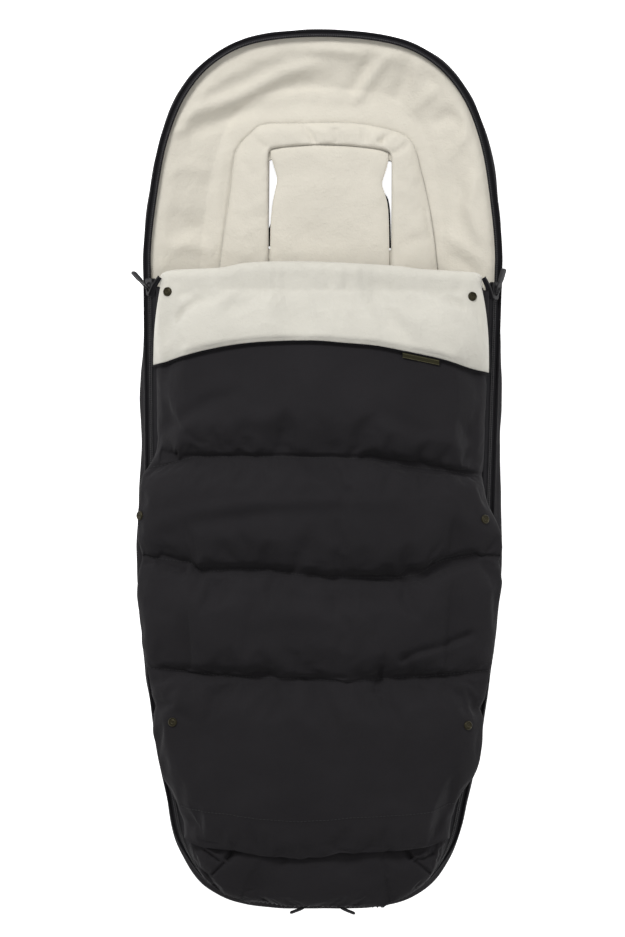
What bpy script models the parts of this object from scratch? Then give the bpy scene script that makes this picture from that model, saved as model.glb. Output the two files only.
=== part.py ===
"""Stroller footmuff, lying on its back and opening upward.

Metres. X is the width, +Y points to the head end, +Z is up. The origin lies on the floor
under the middle of the padded back.
"""
from bisect import bisect_left
from math import acos, cos, pi, radians, sin

import bmesh
import bpy
from mathutils import Matrix, Vector
from mathutils.bvhtree import BVHTree

# Overall size of the laid-out muff
length = 1.000
width = 0.416
side_height = 0.026
zip_height = 0.050

# Cloth, fleece and the running gap between two layers
cloth_thickness = 0.0015
fleece_thickness = 0.0020
layer_gap = 0.0005
seat_gap = 0.0003
cut_overrun = 0.004
merge_distance = 0.00001
surface_probe = 0.0005

# Zip: distance from the outline, tape, teeth and the straight runs of the sliders
zip_inset = 0.009
foot_zip_inset = 0.010
tape_width = 0.009
tape_thickness = 0.0010
teeth_height = 0.0024
teeth_gap = 0.0008
teeth_edge = 0.0018
tape_edge = 0.0021
rim_gap = 0.0008
side_zip_tilt = radians(50)
foot_zip_tilt = radians(90)

# Padded back
back_floor_inset = 0.034
back_panel_inset = 0.062
back_low_inset = 0.011
back_low_height = 0.004
back_floor_top = 0.022
rim_width = 0.0034
rim_drop = 0.0020
lining_slope_inset = 0.018
lining_slope_height = 0.027
lining_floor_inset = 0.042

# Harness window, the flap in it and the padded arch round it
window_x = 0.006
window_half_width = 0.069
window_length = 0.102
flap_length = 0.1155
flap_tongue_end = 0.0040
flap_waist = 0.0085
flap_side_gap = 0.0007
flap_end_gap = 0.0020
flap_hinge_gap = 0.0004
flap_padding = 0.0095
strip_thickness = 0.0008
strip_width = 0.010
strip_inset = 0.014
arch_top_band = 0.0275
arch_low_band = 0.058
arch_high_band = 0.034
arch_corner = 0.030
arch_inner_gap = 0.0025
arch_thickness = 0.0085
arch_edge_radius = 0.0030

# Quilted cover
hinge_cut_gap = 0.0003
cover_crown = 0.108
mouth_crown = 0.069
quilt_depth = 0.013
quilt_reach = 0.055
side_bulge = 0.014
bulge_fade = 0.060
cover_padding = 0.020
mouth_padding = 0.0140
edge_padding = 0.0075
padding_run = 0.100
toe_padding = 0.011
hem_overlap = 0.008
hem_tuck = 0.010
hem_thickness = 0.0015
seam_gap = 0.0006

# Fold-over collar
collar_hem_side_drop = 0.030
collar_gap = 0.0007
collar_end_gap = 0.0030
collar_cloth = 0.0012
collar_filling = 0.0065
collar_fleece = 0.0025
collar_binding_width = 0.0040
roll_radius = 0.0130
roll_z = 0.068
roll_end_inset = 0.030
label_length = 0.042
label_width = 0.0055
label_thickness = 0.0006
label_inset = 0.095

# Press snaps
snap_radius = 0.0050
snap_cap_height = 0.0018
snap_ring = 0.0012
snap_shank_radius = 0.0020
snap_hole_gap = 0.0004
socket_radius = 0.0040
socket_height = 0.0018
stud_radius = 0.0040
stud_height = 0.0009
nub_radius = 0.0014
nub_height = 0.0009
collar_snap_inset = 0.036
upper_snap_inset = 0.022
upper_snap_z = 0.076
lower_snap_inset = 0.045

# Sliders and pulls
slider_length = 0.0190
slider_width = 0.0120
slider_plate = 0.0014
slider_throat = 0.0032
slider_neck_width = 0.0008
slider_neck_length = 0.0045
bridge_width = 0.0030
bridge_length = 0.0090
bridge_height = 0.0043
bridge_hole_length = 0.0056
bridge_hole_height = 0.0028
pull_length = 0.0280
pull_width = 0.0070
pull_thickness = 0.0016
pull_eye_length = 0.0060
pull_eye_width = 0.0042
pull_pin = 0.0016
foot_meet_x = 0.008
foot_slider_gap = 0.0030
left_pull_angle = radians(49)
right_pull_angle = radians(17)
foot_pull_angle = radians(21)

# Places along the length, as shares of it from the middle
mouth_share = 0.2045
quilt_line_shares = (0.007, -0.113, -0.235)
cover_hem_share = -0.424
bulge_top_share = 0.105
collar_hem_share = 0.144
roll_share = 0.218
window_low_share = 0.250
arch_low_share = 0.196
side_run_shares = (-0.238, 0.237)
side_slider_share = 0.203
foot_tilt_shares = (-0.400, -0.470)
collar_snap_share = 0.196
upper_snap_share = -0.054
lower_snap_share = -0.287
# Outline of the laid-out muff from the middle of the foot end to the middle of the head end,
# as shares of half the width and half the length
outline_shares = (
    (0.000, -1.000), (0.200, -1.000), (0.385, -0.992), (0.540, -0.970), (0.663, -0.930),
    (0.770, -0.848), (0.822, -0.752), (0.885, -0.620), (0.938, -0.476), (0.986, -0.300),
    (1.000, -0.150), (0.981, 0.030), (0.990, 0.180), (0.971, 0.320), (0.986, 0.474),
    (0.957, 0.610), (0.899, 0.746), (0.793, 0.856), (0.625, 0.936), (0.385, 0.984), (0.000, 1.000),
)
# Height of the cover's crown along the length, as shares of the way from the mouth to the hem
crown_rise_share = 0.45
crown_fall_start_share = 0.50
crown_fall_share = 0.30
# Stations along one quilted channel, along the hem channel and along the toe box
channel_shares = (0.0, 0.16, 0.36, 0.64, 0.84, 1.0)
hem_channel_shares = (0.20, 0.46, 0.74, 0.90, 1.0)
toe_shares = (0.38, 0.62, 0.80, 0.93, 1.0)
# Squareness of the cover's cross-section at the mouth and over the legs, and of the toe's slope
mouth_squareness_share = 5.0
leg_squareness_share = 2.6
toe_squareness_share = 2.4
# Share of the way from the side to the middle where the bulge ends
bulge_end_share = 0.45
# Share of the side wall that the filling reaches, and of the lining's first slope
filling_reach_share = 0.60
lining_shoulder_share = 0.40
# Heights of a snap cap's groove and rim, the roll's rounded ends and a pull's cut corners
snap_groove_share = 0.6
snap_rim_share = 0.5
roll_end_share = 0.33
pull_corner_share = 0.5
# Step across the cover used to find its slope
probe_share = 0.01
# Stations of the collar from its hem to the fold, and of the flap's edge: share of the window's
# length, then share of the waist
collar_shares = (0.0, 0.5, 1.0)
flap_waist_shares = ((0.0, 0.0), (0.2, 0.12), (0.42, 0.4), (0.62, 0.85), (0.74, 1.0), (0.85, 0.7), (1.0, 0.1))
# Columns across the cover, outline points between two stations, sides of round pieces
columns = 14
points_per_span = 2
foot_run_stations = 2
round_segments = 14

# Places that follow from the sizes above
mouth_y = mouth_share * length
quilt_line_y = tuple(share * length for share in quilt_line_shares)
cover_hem_y = cover_hem_share * length
bulge_top_y = bulge_top_share * length
collar_hem_y = collar_hem_share * length
roll_y = roll_share * length
roll_half_length = width / 2 - roll_end_inset
window_low_y = window_low_share * length
window_high_y = window_low_y + window_length
window_top_y = window_low_y + flap_length
arch_low_y = arch_low_share * length
arch_top_y = window_top_y + arch_top_band
arch_low_half_width = window_half_width + arch_low_band
arch_high_half_width = window_half_width + arch_high_band
strip_length = 2 * (window_half_width - strip_inset)
side_run_low_y, side_run_high_y = (share * length for share in side_run_shares)
side_slider_y = side_slider_share * length
foot_tilt_start_y, foot_tilt_full_y = (share * length for share in foot_tilt_shares)
collar_snap_x, collar_snap_y = width / 2 - collar_snap_inset, collar_snap_share * length
upper_snap_x, upper_snap_y = width / 2 - upper_snap_inset, upper_snap_share * length
lower_snap_x, lower_snap_y = width / 2 - lower_snap_inset, lower_snap_share * length
label_x = width / 2 - label_inset

part_collection = None
cutter_collection = None


def clear_scene():
    for item in list(bpy.data.objects):
        bpy.data.objects.remove(item, do_unlink=True)
    for old in list(bpy.data.collections):
        bpy.data.collections.remove(old)


def make_collection(name):
    collection = bpy.data.collections.new(name)
    bpy.context.scene.collection.children.link(collection)
    return collection


def material(name, colour, roughness, metallic=0.0):
    result = bpy.data.materials.new(name)
    result.use_nodes = True
    shader = result.node_tree.nodes["Principled BSDF"]
    shader.inputs["Base Color"].default_value = (*colour, 1.0)
    shader.inputs["Roughness"].default_value = roughness
    shader.inputs["Metallic"].default_value = metallic
    result.diffuse_color = (*colour, 1.0)
    return result


def black(name):
    return material(name, (0.020, 0.019, 0.022), 0.72)


def cream(name):
    return material(name, (0.68, 0.65, 0.58), 0.95)


def filling(name):
    return material(name, (0.80, 0.80, 0.78), 0.98)


def zip_black(name):
    return material(name, (0.017, 0.016, 0.020), 0.50)


def brass(name):
    return material(name, (0.060, 0.052, 0.028), 0.38, 0.85)


def new_object(name, mesh, look=None, collection=None):
    item = bpy.data.objects.new(name, mesh)
    (collection or part_collection).objects.link(item)
    if look is not None:
        mesh.materials.append(look)
    return item


def finish_mesh(builder, name, look, collection=None):
    mesh = bpy.data.meshes.new(name)
    builder.to_mesh(mesh)
    builder.free()
    return new_object(name, mesh, look, collection)


def shade_round(item, angle=radians(40)):
    item.data.shade_smooth()
    item.data.set_sharp_from_angle(angle=angle)


# Curves through stations

def spline(values, position):
    """Point on a smooth curve through values at a running index."""
    count = len(values)
    index = min(int(position), count - 2)
    t = position - index
    before = values[max(index - 1, 0)]
    here, there = values[index], values[index + 1]
    after = values[min(index + 2, count - 1)]
    return (0.5 * ((2 * here) + (there - before) * t + (2 * before - 5 * here + 4 * there - after) * t ** 2
            + (3 * here - before - 3 * there + after) * t ** 3))


def between(table, position):
    """Straight-line reading of a rising table of pairs."""
    keys = [pair[0] for pair in table]
    index = min(max(bisect_left(keys, position), 1), len(keys) - 1)
    low, high = table[index - 1], table[index]
    share = (position - low[0]) / (high[0] - low[0])
    share = min(max(share, 0.0), 1.0)
    return low[1] + (high[1] - low[1]) * share


def smooth_step(position):
    share = min(max(position, 0.0), 1.0)
    return share * share * (3.0 - 2.0 * share)


def half_outline():
    """Right half of the outline, foot to head, on the floor plane."""
    stations = [Vector((x * width / 2, y * length / 2)) for x, y in outline_shares]
    mirrored = [Vector((-stations[1].x, stations[1].y))] + stations
    mirrored.append(Vector((-stations[-2].x, stations[-2].y)))
    steps = (len(stations) - 1) * points_per_span
    return [spline(mirrored, 1 + step / points_per_span) for step in range(steps + 1)]


def outward_normals(points):
    """Outward normals of the right half, level at the two ends."""
    normals = []
    for index, point in enumerate(points):
        before = points[index - 1] if index else Vector((-points[1].x, points[1].y))
        last = index == len(points) - 1
        after = Vector((-points[-2].x, points[-2].y)) if last else points[index + 1]
        along = (after - before).normalized()
        normals.append(Vector((along.y, -along.x)))
    return normals


def half_zip_line(points, normals):
    """The zip's line: inset all round, straight where a slider runs."""
    line = [point - normal * zip_inset for point, normal in zip(points, normals)]
    low = min(range(len(line)), key=lambda k: abs(points[k].y - side_run_low_y))
    high = min(range(len(line)), key=lambda k: abs(points[k].y - side_run_high_y))
    start, end = line[low].copy(), line[high].copy()
    for index in range(low, high + 1):
        share = (points[index].y - start.y) / (end.y - start.y)
        line[index] = Vector((start.x + (end.x - start.x) * share, points[index].y))
    for index in range(foot_run_stations * points_per_span + 1):
        line[index] = Vector((points[index].x, foot_zip_inset - length / 2))
    return line


def zip_tilt(y):
    """Angle of the zip's face: lying back at the sides, upright at the foot."""
    share = smooth_step((foot_tilt_start_y - y) / (foot_tilt_start_y - foot_tilt_full_y))
    return side_zip_tilt + (foot_zip_tilt - side_zip_tilt) * share


def mirror_half(points):
    """Whole loop from its right half; the two middle points are not repeated."""
    left = [Vector((-point.x, *point[1:])) for point in points[-2:0:-1]]
    return list(points) + left


def zip_point(index, across, lift):
    """Point beside the zip's line: across runs up the tape, lift stands off its face."""
    point, normal = zip_half[index], zip_normals[index]
    tilt = zip_tilt(point.y)
    inward, up = across * cos(tilt) - lift * sin(tilt), across * sin(tilt) + lift * cos(tilt)
    flat = point - normal * inward
    return Vector((flat.x, flat.y, zip_height + up))


outline_half = half_outline()
outline_normals = outward_normals(outline_half)
zip_half = half_zip_line(outline_half, outline_normals)
zip_normals = outward_normals(zip_half)
half_count = len(zip_half)
cover_edge = [zip_point(index, tape_width + rim_gap, 0) for index in range(half_count)]


# Meshes from rows of points

def add_rows(builder, rows):
    return [[builder.verts.new(point) for point in row] for row in rows]


def join_rows(builder, rows, closed, flip=False):
    """Faces between neighbouring rows, split along the same diagonal in every layer."""
    count = len(rows[0])
    for low, high in zip(rows, rows[1:]):
        for column in range(count if closed else count - 1):
            after = (column + 1) % count
            for corners in ((low[column], low[after], high[after]), (low[column], high[after], high[column])):
                builder.faces.new(reversed(corners) if flip else corners)


def offset_rows(rows, distance, closed=False):
    """Grid moved inward so that each of its faces moves by at least the distance."""
    count = len(rows[0])
    faces = []
    for low, high in zip(rows, rows[1:]):
        line = []
        for c in range(count if closed else count - 1):
            after = (c + 1) % count
            line.append((high[after] - low[c]).cross(high[c] - low[after]).normalized())
        faces.append(line)
    result = []
    for r, row in enumerate(rows):
        moved = []
        for c, point in enumerate(row):
            near = []
            for face_row in faces[max(r - 1, 0):r + 1]:
                for column in (c - 1, c):
                    if closed or 0 <= column < count - 1:
                        near.append(face_row[column % len(face_row)])
            normal = sum(near, Vector((0, 0, 0))).normalized()
            moved.append(point - normal * distance / min(normal.dot(face) for face in near))
        result.append(moved)
    return result


def open_sheet(name, rows, look, thickness, cap=None, closed=False):
    """Open surface of rows, made solid inward."""
    builder = bmesh.new()
    verts = add_rows(builder, rows)
    join_rows(builder, verts, closed)
    if cap == "first":
        builder.faces.new(list(reversed(verts[0])))
    if cap == "last":
        builder.faces.new(verts[-1])
    item = finish_mesh(builder, name, look)
    solid = item.modifiers.new("Thickness", "SOLIDIFY")
    solid.thickness = thickness
    solid.offset = -1.0
    solid.use_even_offset = True
    return item


def slab(name, outer, inner, look, closed=False):
    """Closed body between an outer and an inner grid of the same layout."""
    builder = bmesh.new()
    top = add_rows(builder, outer)
    bottom = add_rows(builder, inner)
    join_rows(builder, top, closed)
    join_rows(builder, bottom, closed, flip=True)
    for near, far in ((top[0], bottom[0]), (bottom[-1], top[-1])):
        join_rows(builder, [far, near], closed)
    if not closed:
        left = [[row[0] for row in top], [row[0] for row in bottom]]
        right = [[row[-1] for row in bottom], [row[-1] for row in top]]
        join_rows(builder, left, False)
        join_rows(builder, right, False)
    return finish_mesh(builder, name, look)


def ring_body(name, rings, look):
    """Closed body from a run of rings, capped at both ends."""
    builder = bmesh.new()
    verts = add_rows(builder, rings)
    join_rows(builder, verts, True)
    builder.faces.new(list(reversed(verts[0])))
    builder.faces.new(verts[-1])
    return finish_mesh(builder, name, look)


def zip_strip(name, indices, across, lift, look, side=1):
    """Strip of rectangular section beside the zip's line; side 0 goes all the way round."""
    corners = [(across[0], lift[1]), (across[1], lift[1]), (across[1], lift[0]), (across[0], lift[0])]
    rows = []
    for a, b in corners:
        half = [zip_point(index, a, b) for index in indices]
        if side == 0:
            rows.append(mirror_half(half))
        elif side < 0:
            rows.append([Vector((-p.x, p.y, p.z)) for p in reversed(half)])
        else:
            rows.append(half)
    builder = bmesh.new()
    verts = add_rows(builder, rows)
    join_rows(builder, verts + verts[:1], side == 0)
    if side:
        builder.faces.new([row[0] for row in verts])
        builder.faces.new([row[-1] for row in reversed(verts)])
    return finish_mesh(builder, name, look)


def foot_strip(name, last_index, across, lift, look):
    """Strip beside the zip's line from one side round the foot to the other."""
    corners = [(across[0], lift[1]), (across[1], lift[1]), (across[1], lift[0]), (across[0], lift[0])]
    rows = []
    for a, b in corners:
        right = [zip_point(index, a, b) for index in range(last_index + 1)]
        rows.append([Vector((-p.x, p.y, p.z)) for p in reversed(right[1:])] + right)
    builder = bmesh.new()
    verts = add_rows(builder, rows)
    join_rows(builder, verts + verts[:1], False)
    builder.faces.new([row[0] for row in verts])
    builder.faces.new([row[-1] for row in reversed(verts)])
    return finish_mesh(builder, name, look)


def turned(name, profile, look, segments=round_segments, collection=None):
    """Body of revolution about its own Z, from radius and height pairs, top to bottom."""
    mesh = bpy.data.meshes.new(name)
    edges = [(k, k + 1) for k in range(len(profile) - 1)]
    mesh.from_pydata([(radius, 0.0, height) for radius, height in profile], edges, [])
    item = new_object(name, mesh, look, collection)
    screw = item.modifiers.new("Turn", "SCREW")
    screw.axis = "Z"
    screw.steps = segments
    screw.render_steps = segments
    screw.use_merge_vertices = True
    screw.merge_threshold = merge_distance
    screw.use_smooth_shade = True
    screw.use_normal_calculate = False
    return item


def flat_piece(name, outlines, centre_z, thickness, look, bevel=0.0):
    """Flat plate from 2D outlines, lying in XY round a middle height."""
    curve = bpy.data.curves.new(name, "CURVE")
    curve.dimensions = "2D"
    curve.fill_mode = "BOTH"
    curve.extrude = thickness / 2 - bevel
    curve.bevel_depth = bevel
    curve.bevel_resolution = 1
    for outline in outlines:
        line = curve.splines.new("POLY")
        line.points.add(len(outline) - 1)
        for point, (x, y) in zip(line.points, outline):
            point.co = (x, y, 0.0, 1.0)
        line.use_cyclic_u = True
    raw = bpy.data.objects.new(name + "_outline", curve)
    part_collection.objects.link(raw)
    bpy.context.view_layer.update()
    evaluated = raw.evaluated_get(bpy.context.evaluated_depsgraph_get())
    mesh = bpy.data.meshes.new_from_object(evaluated)
    bpy.data.objects.remove(raw, do_unlink=True)
    builder = bmesh.new()
    builder.from_mesh(mesh)
    bmesh.ops.remove_doubles(builder, verts=builder.verts, dist=merge_distance)
    bmesh.ops.recalc_face_normals(builder, faces=builder.faces)
    builder.to_mesh(mesh)
    builder.free()
    mesh.name = name
    mesh.materials.clear()
    item = new_object(name, mesh, look)
    item.location.z = centre_z
    return item


def block(name, size, centre, look=None, collection=None):
    builder = bmesh.new()
    made = bmesh.ops.create_cube(builder, size=1.0)
    bmesh.ops.scale(builder, vec=size, verts=made["verts"])
    bmesh.ops.translate(builder, vec=centre, verts=made["verts"])
    return finish_mesh(builder, name, look, collection)


def as_cutter(item):
    item.hide_render = True
    item.display_type = "WIRE"
    return item


def combine(item, other, operation):
    change = item.modifiers.new(other.name, "BOOLEAN")
    change.operation = operation
    change.object = other
    change.solver = "EXACT"


def hinge_point(name, location):
    empty = bpy.data.objects.new(name, None)
    part_collection.objects.link(empty)
    empty.empty_display_size = slider_length
    empty.location = location
    return empty


def carry(empty, items):
    """Parent pieces to an empty without moving them."""
    bpy.context.view_layer.update()
    for item in items:
        place = item.matrix_world.copy()
        item.parent = empty
        item.matrix_parent_inverse = empty.matrix_world.inverted()
        item.matrix_world = place


def mirrored_outline(right):
    return right + [(-x, y) for x, y in reversed(right)]


# Padded back

def ring(inset, height):
    """Level ring at a distance inside the outline."""
    half = [point - normal * inset for point, normal in zip(outline_half, outline_normals)]
    return mirror_half([Vector((p.x, p.y, height)) for p in half])


def inside_zip(inset, height):
    half = [point - normal * inset for point, normal in zip(zip_half, zip_normals)]
    return mirror_half([Vector((p.x, p.y, height)) for p in half])


def blend_rings(low, high, share):
    return [a.lerp(b, share) for a, b in zip(low, high)]


def rim_ring(inset, drop):
    """Ring at the foot of the zip tape, moved in and down."""
    half = []
    for index, normal in enumerate(zip_normals):
        point = zip_point(index, -tape_width - rim_gap, 0)
        half.append(Vector((point.x - normal.x * inset, point.y - normal.y * inset, point.z - drop)))
    return mirror_half(half)


def build_back():
    side = ring(0, side_height)
    rim = rim_ring(0, 0)
    shell_rings = [ring(back_panel_inset, 0), ring(back_floor_inset, 0),
                   ring(back_low_inset, back_low_height), side,
                   blend_rings(side, rim, filling_reach_share), rim]
    slope = inside_zip(lining_slope_inset, lining_slope_height)
    lining_rim = rim_ring(rim_width, rim_drop)
    lining_rings = [lining_rim, blend_rings(lining_rim, slope, lining_shoulder_share), slope,
                    ring(lining_floor_inset, back_floor_top), ring(back_panel_inset, back_floor_top)]
    shell = open_sheet("back_shell", shell_rings, black("back_cloth"), cloth_thickness, "first", True)
    lining = open_sheet("back_lining", lining_rings, cream("back_fleece"), fleece_thickness, "last", True)
    outer = offset_rows(shell_rings, cloth_thickness + layer_gap, True)[:-1]
    inner = offset_rows(lining_rings, fleece_thickness + layer_gap, True)[1:]
    wadding = ring_body("back_wadding", outer + inner, filling("back_filling"))

    cutter = as_cutter(block("window_cutter", (2 * window_half_width, window_length, 2 * back_floor_top),
                             (window_x, window_low_y + window_length / 2, back_floor_top / 2),
                             collection=cutter_collection))
    for item in (shell, wadding, lining):
        combine(item, cutter, "DIFFERENCE")


def build_arch_pad():
    """Padded arch sewn on the lining round the harness window."""
    inner_x = window_half_width + arch_inner_gap + arch_edge_radius
    inner_top = window_top_y + arch_inner_gap + arch_edge_radius
    high_x, top_y = arch_high_half_width - arch_edge_radius, arch_top_y - arch_edge_radius
    corner = [(high_x - arch_corner * (1 - cos(angle)), top_y - arch_corner * (1 - sin(angle)))
              for angle in (radians(0), radians(30), radians(60), radians(90))]
    outer = [(arch_low_half_width - arch_edge_radius, arch_low_y)] + corner
    right = [(inner_x, arch_low_y)] + outer
    left = [(-x, y) for x, y in reversed(right)]
    outline = right + left + [(-inner_x, inner_top), (inner_x, inner_top)]
    bottom = back_floor_top + seat_gap
    flat_piece("arch_pad", [[(x + window_x, y) for x, y in outline]],
               bottom + arch_thickness / 2, arch_thickness, cream("arch_fleece"), arch_edge_radius)


# Cover surface

edge_width_table = [(p.y, p.x) for p in cover_edge[foot_run_stations * points_per_span:]]
edge_height_table = [(p.y, p.z) for p in cover_edge[foot_run_stations * points_per_span:]]
toe_end_y = edge_width_table[0][0]


def quilt_pinch(y):
    """One on a quilt line, falling to nothing at the quilt's reach."""
    pinch = 0.0
    for line_y in quilt_line_y:
        pinch += max(0.0, 1.0 - abs(y - line_y) / quilt_reach) ** 2
    return pinch


def crown_height(y, quilted):
    """Height of the cover's top on the middle line, from the mouth to the hem."""
    share = (mouth_y - y) / (mouth_y - cover_hem_y)
    rise = 1.0 - (1.0 - min(share / crown_rise_share, 1.0)) ** 2
    fall = 1.0 - crown_fall_share * max(0.0, (share - crown_fall_start_share)
                                        / (1.0 - crown_fall_start_share)) ** 2
    height = mouth_crown + (cover_crown - mouth_crown) * rise * fall
    if quilted:
        height -= quilt_depth * quilt_pinch(y)
    return height


def toe_share(y):
    return min(max((cover_hem_y - y) / (cover_hem_y - toe_end_y), 0.0), 1.0)


def squareness_at(y):
    near_mouth = smooth_step((y - mouth_y + padding_run) / padding_run)
    return leg_squareness_share + (mouth_squareness_share - leg_squareness_share) * near_mouth


def section_point(u, y, edge_x, edge_z, rise, bulge):
    """Point of a rounded cross-section: u from -1 at the left edge to 1 at the right one."""
    inward = 1.0 - abs(u)
    angle = inward * pi / 2
    power = 2.0 / squareness_at(y)
    x = edge_x * max(cos(angle), 0.0) ** power + bulge * sin(pi * min(inward / bulge_end_share, 1.0))
    return Vector((x if u >= 0 else -x, y, edge_z + rise * sin(angle) ** power))


def toe_fall(y):
    return (1.0 - toe_share(y) ** toe_squareness_share) ** (1.0 / toe_squareness_share)


def base_point(u, y):
    """Outer face of the cover."""
    edge_x, edge_z = between(edge_width_table, y), between(edge_height_table, y)
    rise = (crown_height(max(y, cover_hem_y), True) - edge_z) * toe_fall(y)
    fade = smooth_step((bulge_top_y - y) / bulge_fade) * smooth_step((y - cover_hem_y) / bulge_fade)
    bulge = side_bulge * fade * max(0.0, 1.0 - quilt_pinch(y))
    return section_point(u, y, edge_x, edge_z, rise, bulge)


def inside_point(u, y):
    """Inner face of the cover: inset along the zip, and lower by the padding."""
    edge_x, edge_z = between(edge_width_table, y) - edge_padding, between(edge_height_table, y)
    padding = mouth_padding + (cover_padding - mouth_padding) * smooth_step((mouth_y - y) / padding_run)
    rise = (crown_height(max(y, cover_hem_y), False) - padding - edge_z) * toe_fall(y)
    point = section_point(u, y, edge_x, edge_z, rise, 0.0)
    point.y += toe_padding * toe_share(y)
    return point


def cover_point(u, y, lift):
    """Point off the cover's outer face along its normal."""
    left, right = base_point(max(u - probe_share, -1.0), y), base_point(min(u + probe_share, 1.0), y)
    low, high = base_point(u, max(y - surface_probe, toe_end_y)), base_point(u, y + surface_probe)
    return base_point(u, y) + (right - left).cross(high - low).normalized() * lift


def column_shares(skip=0):
    return [2.0 * column / columns - 1.0 for column in range(skip, columns + 1 - skip)]


def padded_layers(prefix, rows, looks):
    """Shell, filling and lining of one stretch of the cover; each row is a run of (u, y)."""
    face = [[base_point(u, y) for u, y in row] for row in rows]
    inside = [[inside_point(u, y) for u, y in row] for row in rows]
    shell = slab(prefix + "_shell", face, offset_rows(face, cloth_thickness), looks[0])
    wadding = slab(prefix + "_wadding", offset_rows(face, cloth_thickness + layer_gap),
                   offset_rows(inside, -fleece_thickness - layer_gap), looks[1])
    lining = slab(prefix + "_lining", offset_rows(inside, -fleece_thickness), inside, looks[2])
    return [shell, wadding, lining]


def level_rows(stations):
    return [[(u, y) for u in column_shares()] for y in stations]


def channel_stations(low, high, shares):
    return [low + (high - low) * share for share in shares]


def build_front_cover():
    """Three quilted channels from the hinge line to the mouth."""
    low, middle, high = sorted(quilt_line_y)
    stations = channel_stations(low + hinge_cut_gap / 2, middle, channel_shares)
    stations += channel_stations(middle, high, channel_shares)[1:]
    stations += channel_stations(high, mouth_y, channel_shares[:3])[1:]
    rows = level_rows(stations) + collar_rows(mouth_y, 0)
    return padded_layers("cover", rows, (black("cover_cloth"), filling("cover_filling"),
                                         cream("cover_fleece")))


def build_lower_cover():
    stations = [cover_hem_y + seam_gap / 2, cover_hem_y + hem_tuck]
    stations += channel_stations(cover_hem_y, min(quilt_line_y) - hinge_cut_gap / 2, hem_channel_shares)
    looks = (black("lower_cover_cloth"), filling("lower_cover_filling"), cream("lower_cover_fleece"))
    layers = padded_layers("lower_cover", level_rows(stations), looks)

    rows = (cover_hem_y - hem_overlap, cover_hem_y, cover_hem_y + hem_tuck)
    shares = column_shares(1)
    face = [[base_point(u, y) for u in shares] for y in rows]
    slab("lower_cover_hem", offset_rows(face, -layer_gap - hem_thickness),
         offset_rows(face, -layer_gap), black("hem_cloth"))
    return layers[0]


def build_toe_box():
    stations = [cover_hem_y - seam_gap / 2, cover_hem_y - hem_overlap]
    stations += channel_stations(cover_hem_y, toe_end_y, toe_shares)
    looks = (black("toe_cloth"), filling("toe_filling"), cream("toe_fleece"))
    padded_layers("toe", level_rows(list(reversed(stations))), looks)


# Fold-over collar

def across_share(x, y):
    """The u value at which the cover's face has this x, above the side bulge."""
    ratio = min(abs(x) / between(edge_width_table, y), 1.0)
    share = 1.0 - acos(ratio ** (squareness_at(y) / 2.0)) / (pi / 2)
    return share if x >= 0 else -share


def collar_edge_y(u):
    """The collar's hem: lower toward the sides."""
    x = base_point(u, collar_hem_y).x
    return collar_hem_y - collar_hem_side_drop * (2.0 * x / (width - 2 * slider_width)) ** 2


def collar_rows(end_y, skip):
    """Rows from the collar's hem to the fold, as runs of (u, y)."""
    return [[(u, collar_edge_y(u) + (end_y - collar_edge_y(u)) * share) for u in column_shares(skip)]
            for share in collar_shares]


def collar_face():
    return [[base_point(u, y) for u, y in row] for row in collar_rows(mouth_y - collar_end_gap, 1)]


def collar_layer(name, bottom, thickness, look):
    face = collar_face()
    return slab(name, offset_rows(face, -bottom - thickness), offset_rows(face, -bottom), look)


def collar_heights():
    """Height of each collar layer's underside above the cover, and of the top."""
    backing = collar_gap
    wadding = backing + collar_cloth + layer_gap
    fleece = wadding + collar_filling + layer_gap
    return backing, wadding, fleece, fleece + collar_fleece


def build_collar():
    backing_z, wadding_z, fleece_z, top_z = collar_heights()
    layers = [collar_layer("collar_backing", backing_z, collar_cloth, black("collar_cloth")),
              collar_layer("collar_wadding", wadding_z, collar_filling, filling("collar_filling")),
              collar_layer("collar_fleece", fleece_z, collar_fleece, cream("collar_fleece"))]

    edge = [[base_point(u, collar_edge_y(u) - offset) for u in column_shares(1)]
            for offset in (layer_gap + collar_binding_width, layer_gap)]
    hem = slab("collar_hem", offset_rows(edge, -top_z), offset_rows(edge, -backing_z), black("hem_binding"))

    grids = []
    for lift in (top_z + seat_gap + label_thickness, top_z + seat_gap):
        rows = []
        for offset in (label_width, 0.0):
            row = []
            for part in (-0.5, 0.0, 0.5):
                x = label_x + part * label_length
                u = across_share(x, collar_hem_y)
                row.append(cover_point(u, collar_edge_y(u) - offset, lift))
            rows.append(row)
        grids.append(rows)
    label = slab("woven_label", grids[0], grids[1], material("label_olive", (0.10, 0.095, 0.06), 0.6))

    bpy.ops.mesh.primitive_cylinder_add(vertices=2 * round_segments, radius=roll_radius,
                                        depth=2 * roll_half_length, rotation=(0, pi / 2, 0),
                                        location=(0, roll_y, roll_z))
    roll = adopt(bpy.context.object, "collar_roll", cream("roll_fleece"))
    shade_round(roll)
    rounding = roll.modifiers.new("Rounded ends", "BEVEL")
    rounding.width = roll_radius * roll_end_share
    rounding.segments = 2
    rounding.limit_method = "ANGLE"
    rounding.angle_limit = radians(60)
    return layers, [hem, label, roll]


def adopt(item, name, look):
    item.name = name
    item.data.name = name
    for collection in list(item.users_collection):
        collection.objects.unlink(item)
    part_collection.objects.link(item)
    item.data.materials.append(look)
    return item


# Press snaps

def face_frame(point, normal, along=Vector((0, 1, 0))):
    """Frame whose Z is the normal and whose Y lies near a given direction."""
    across = along.cross(normal).normalized()
    ahead = normal.cross(across).normalized()
    return Matrix.Translation(point) @ Matrix((across, ahead, normal)).transposed().to_4x4()


def surface_frame(x, y, lift):
    u = across_share(x, y)
    point = cover_point(u, y, 0)
    normal = (cover_point(u, y, snap_radius) - point).normalized()
    return face_frame(point + normal * lift, normal)


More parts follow.
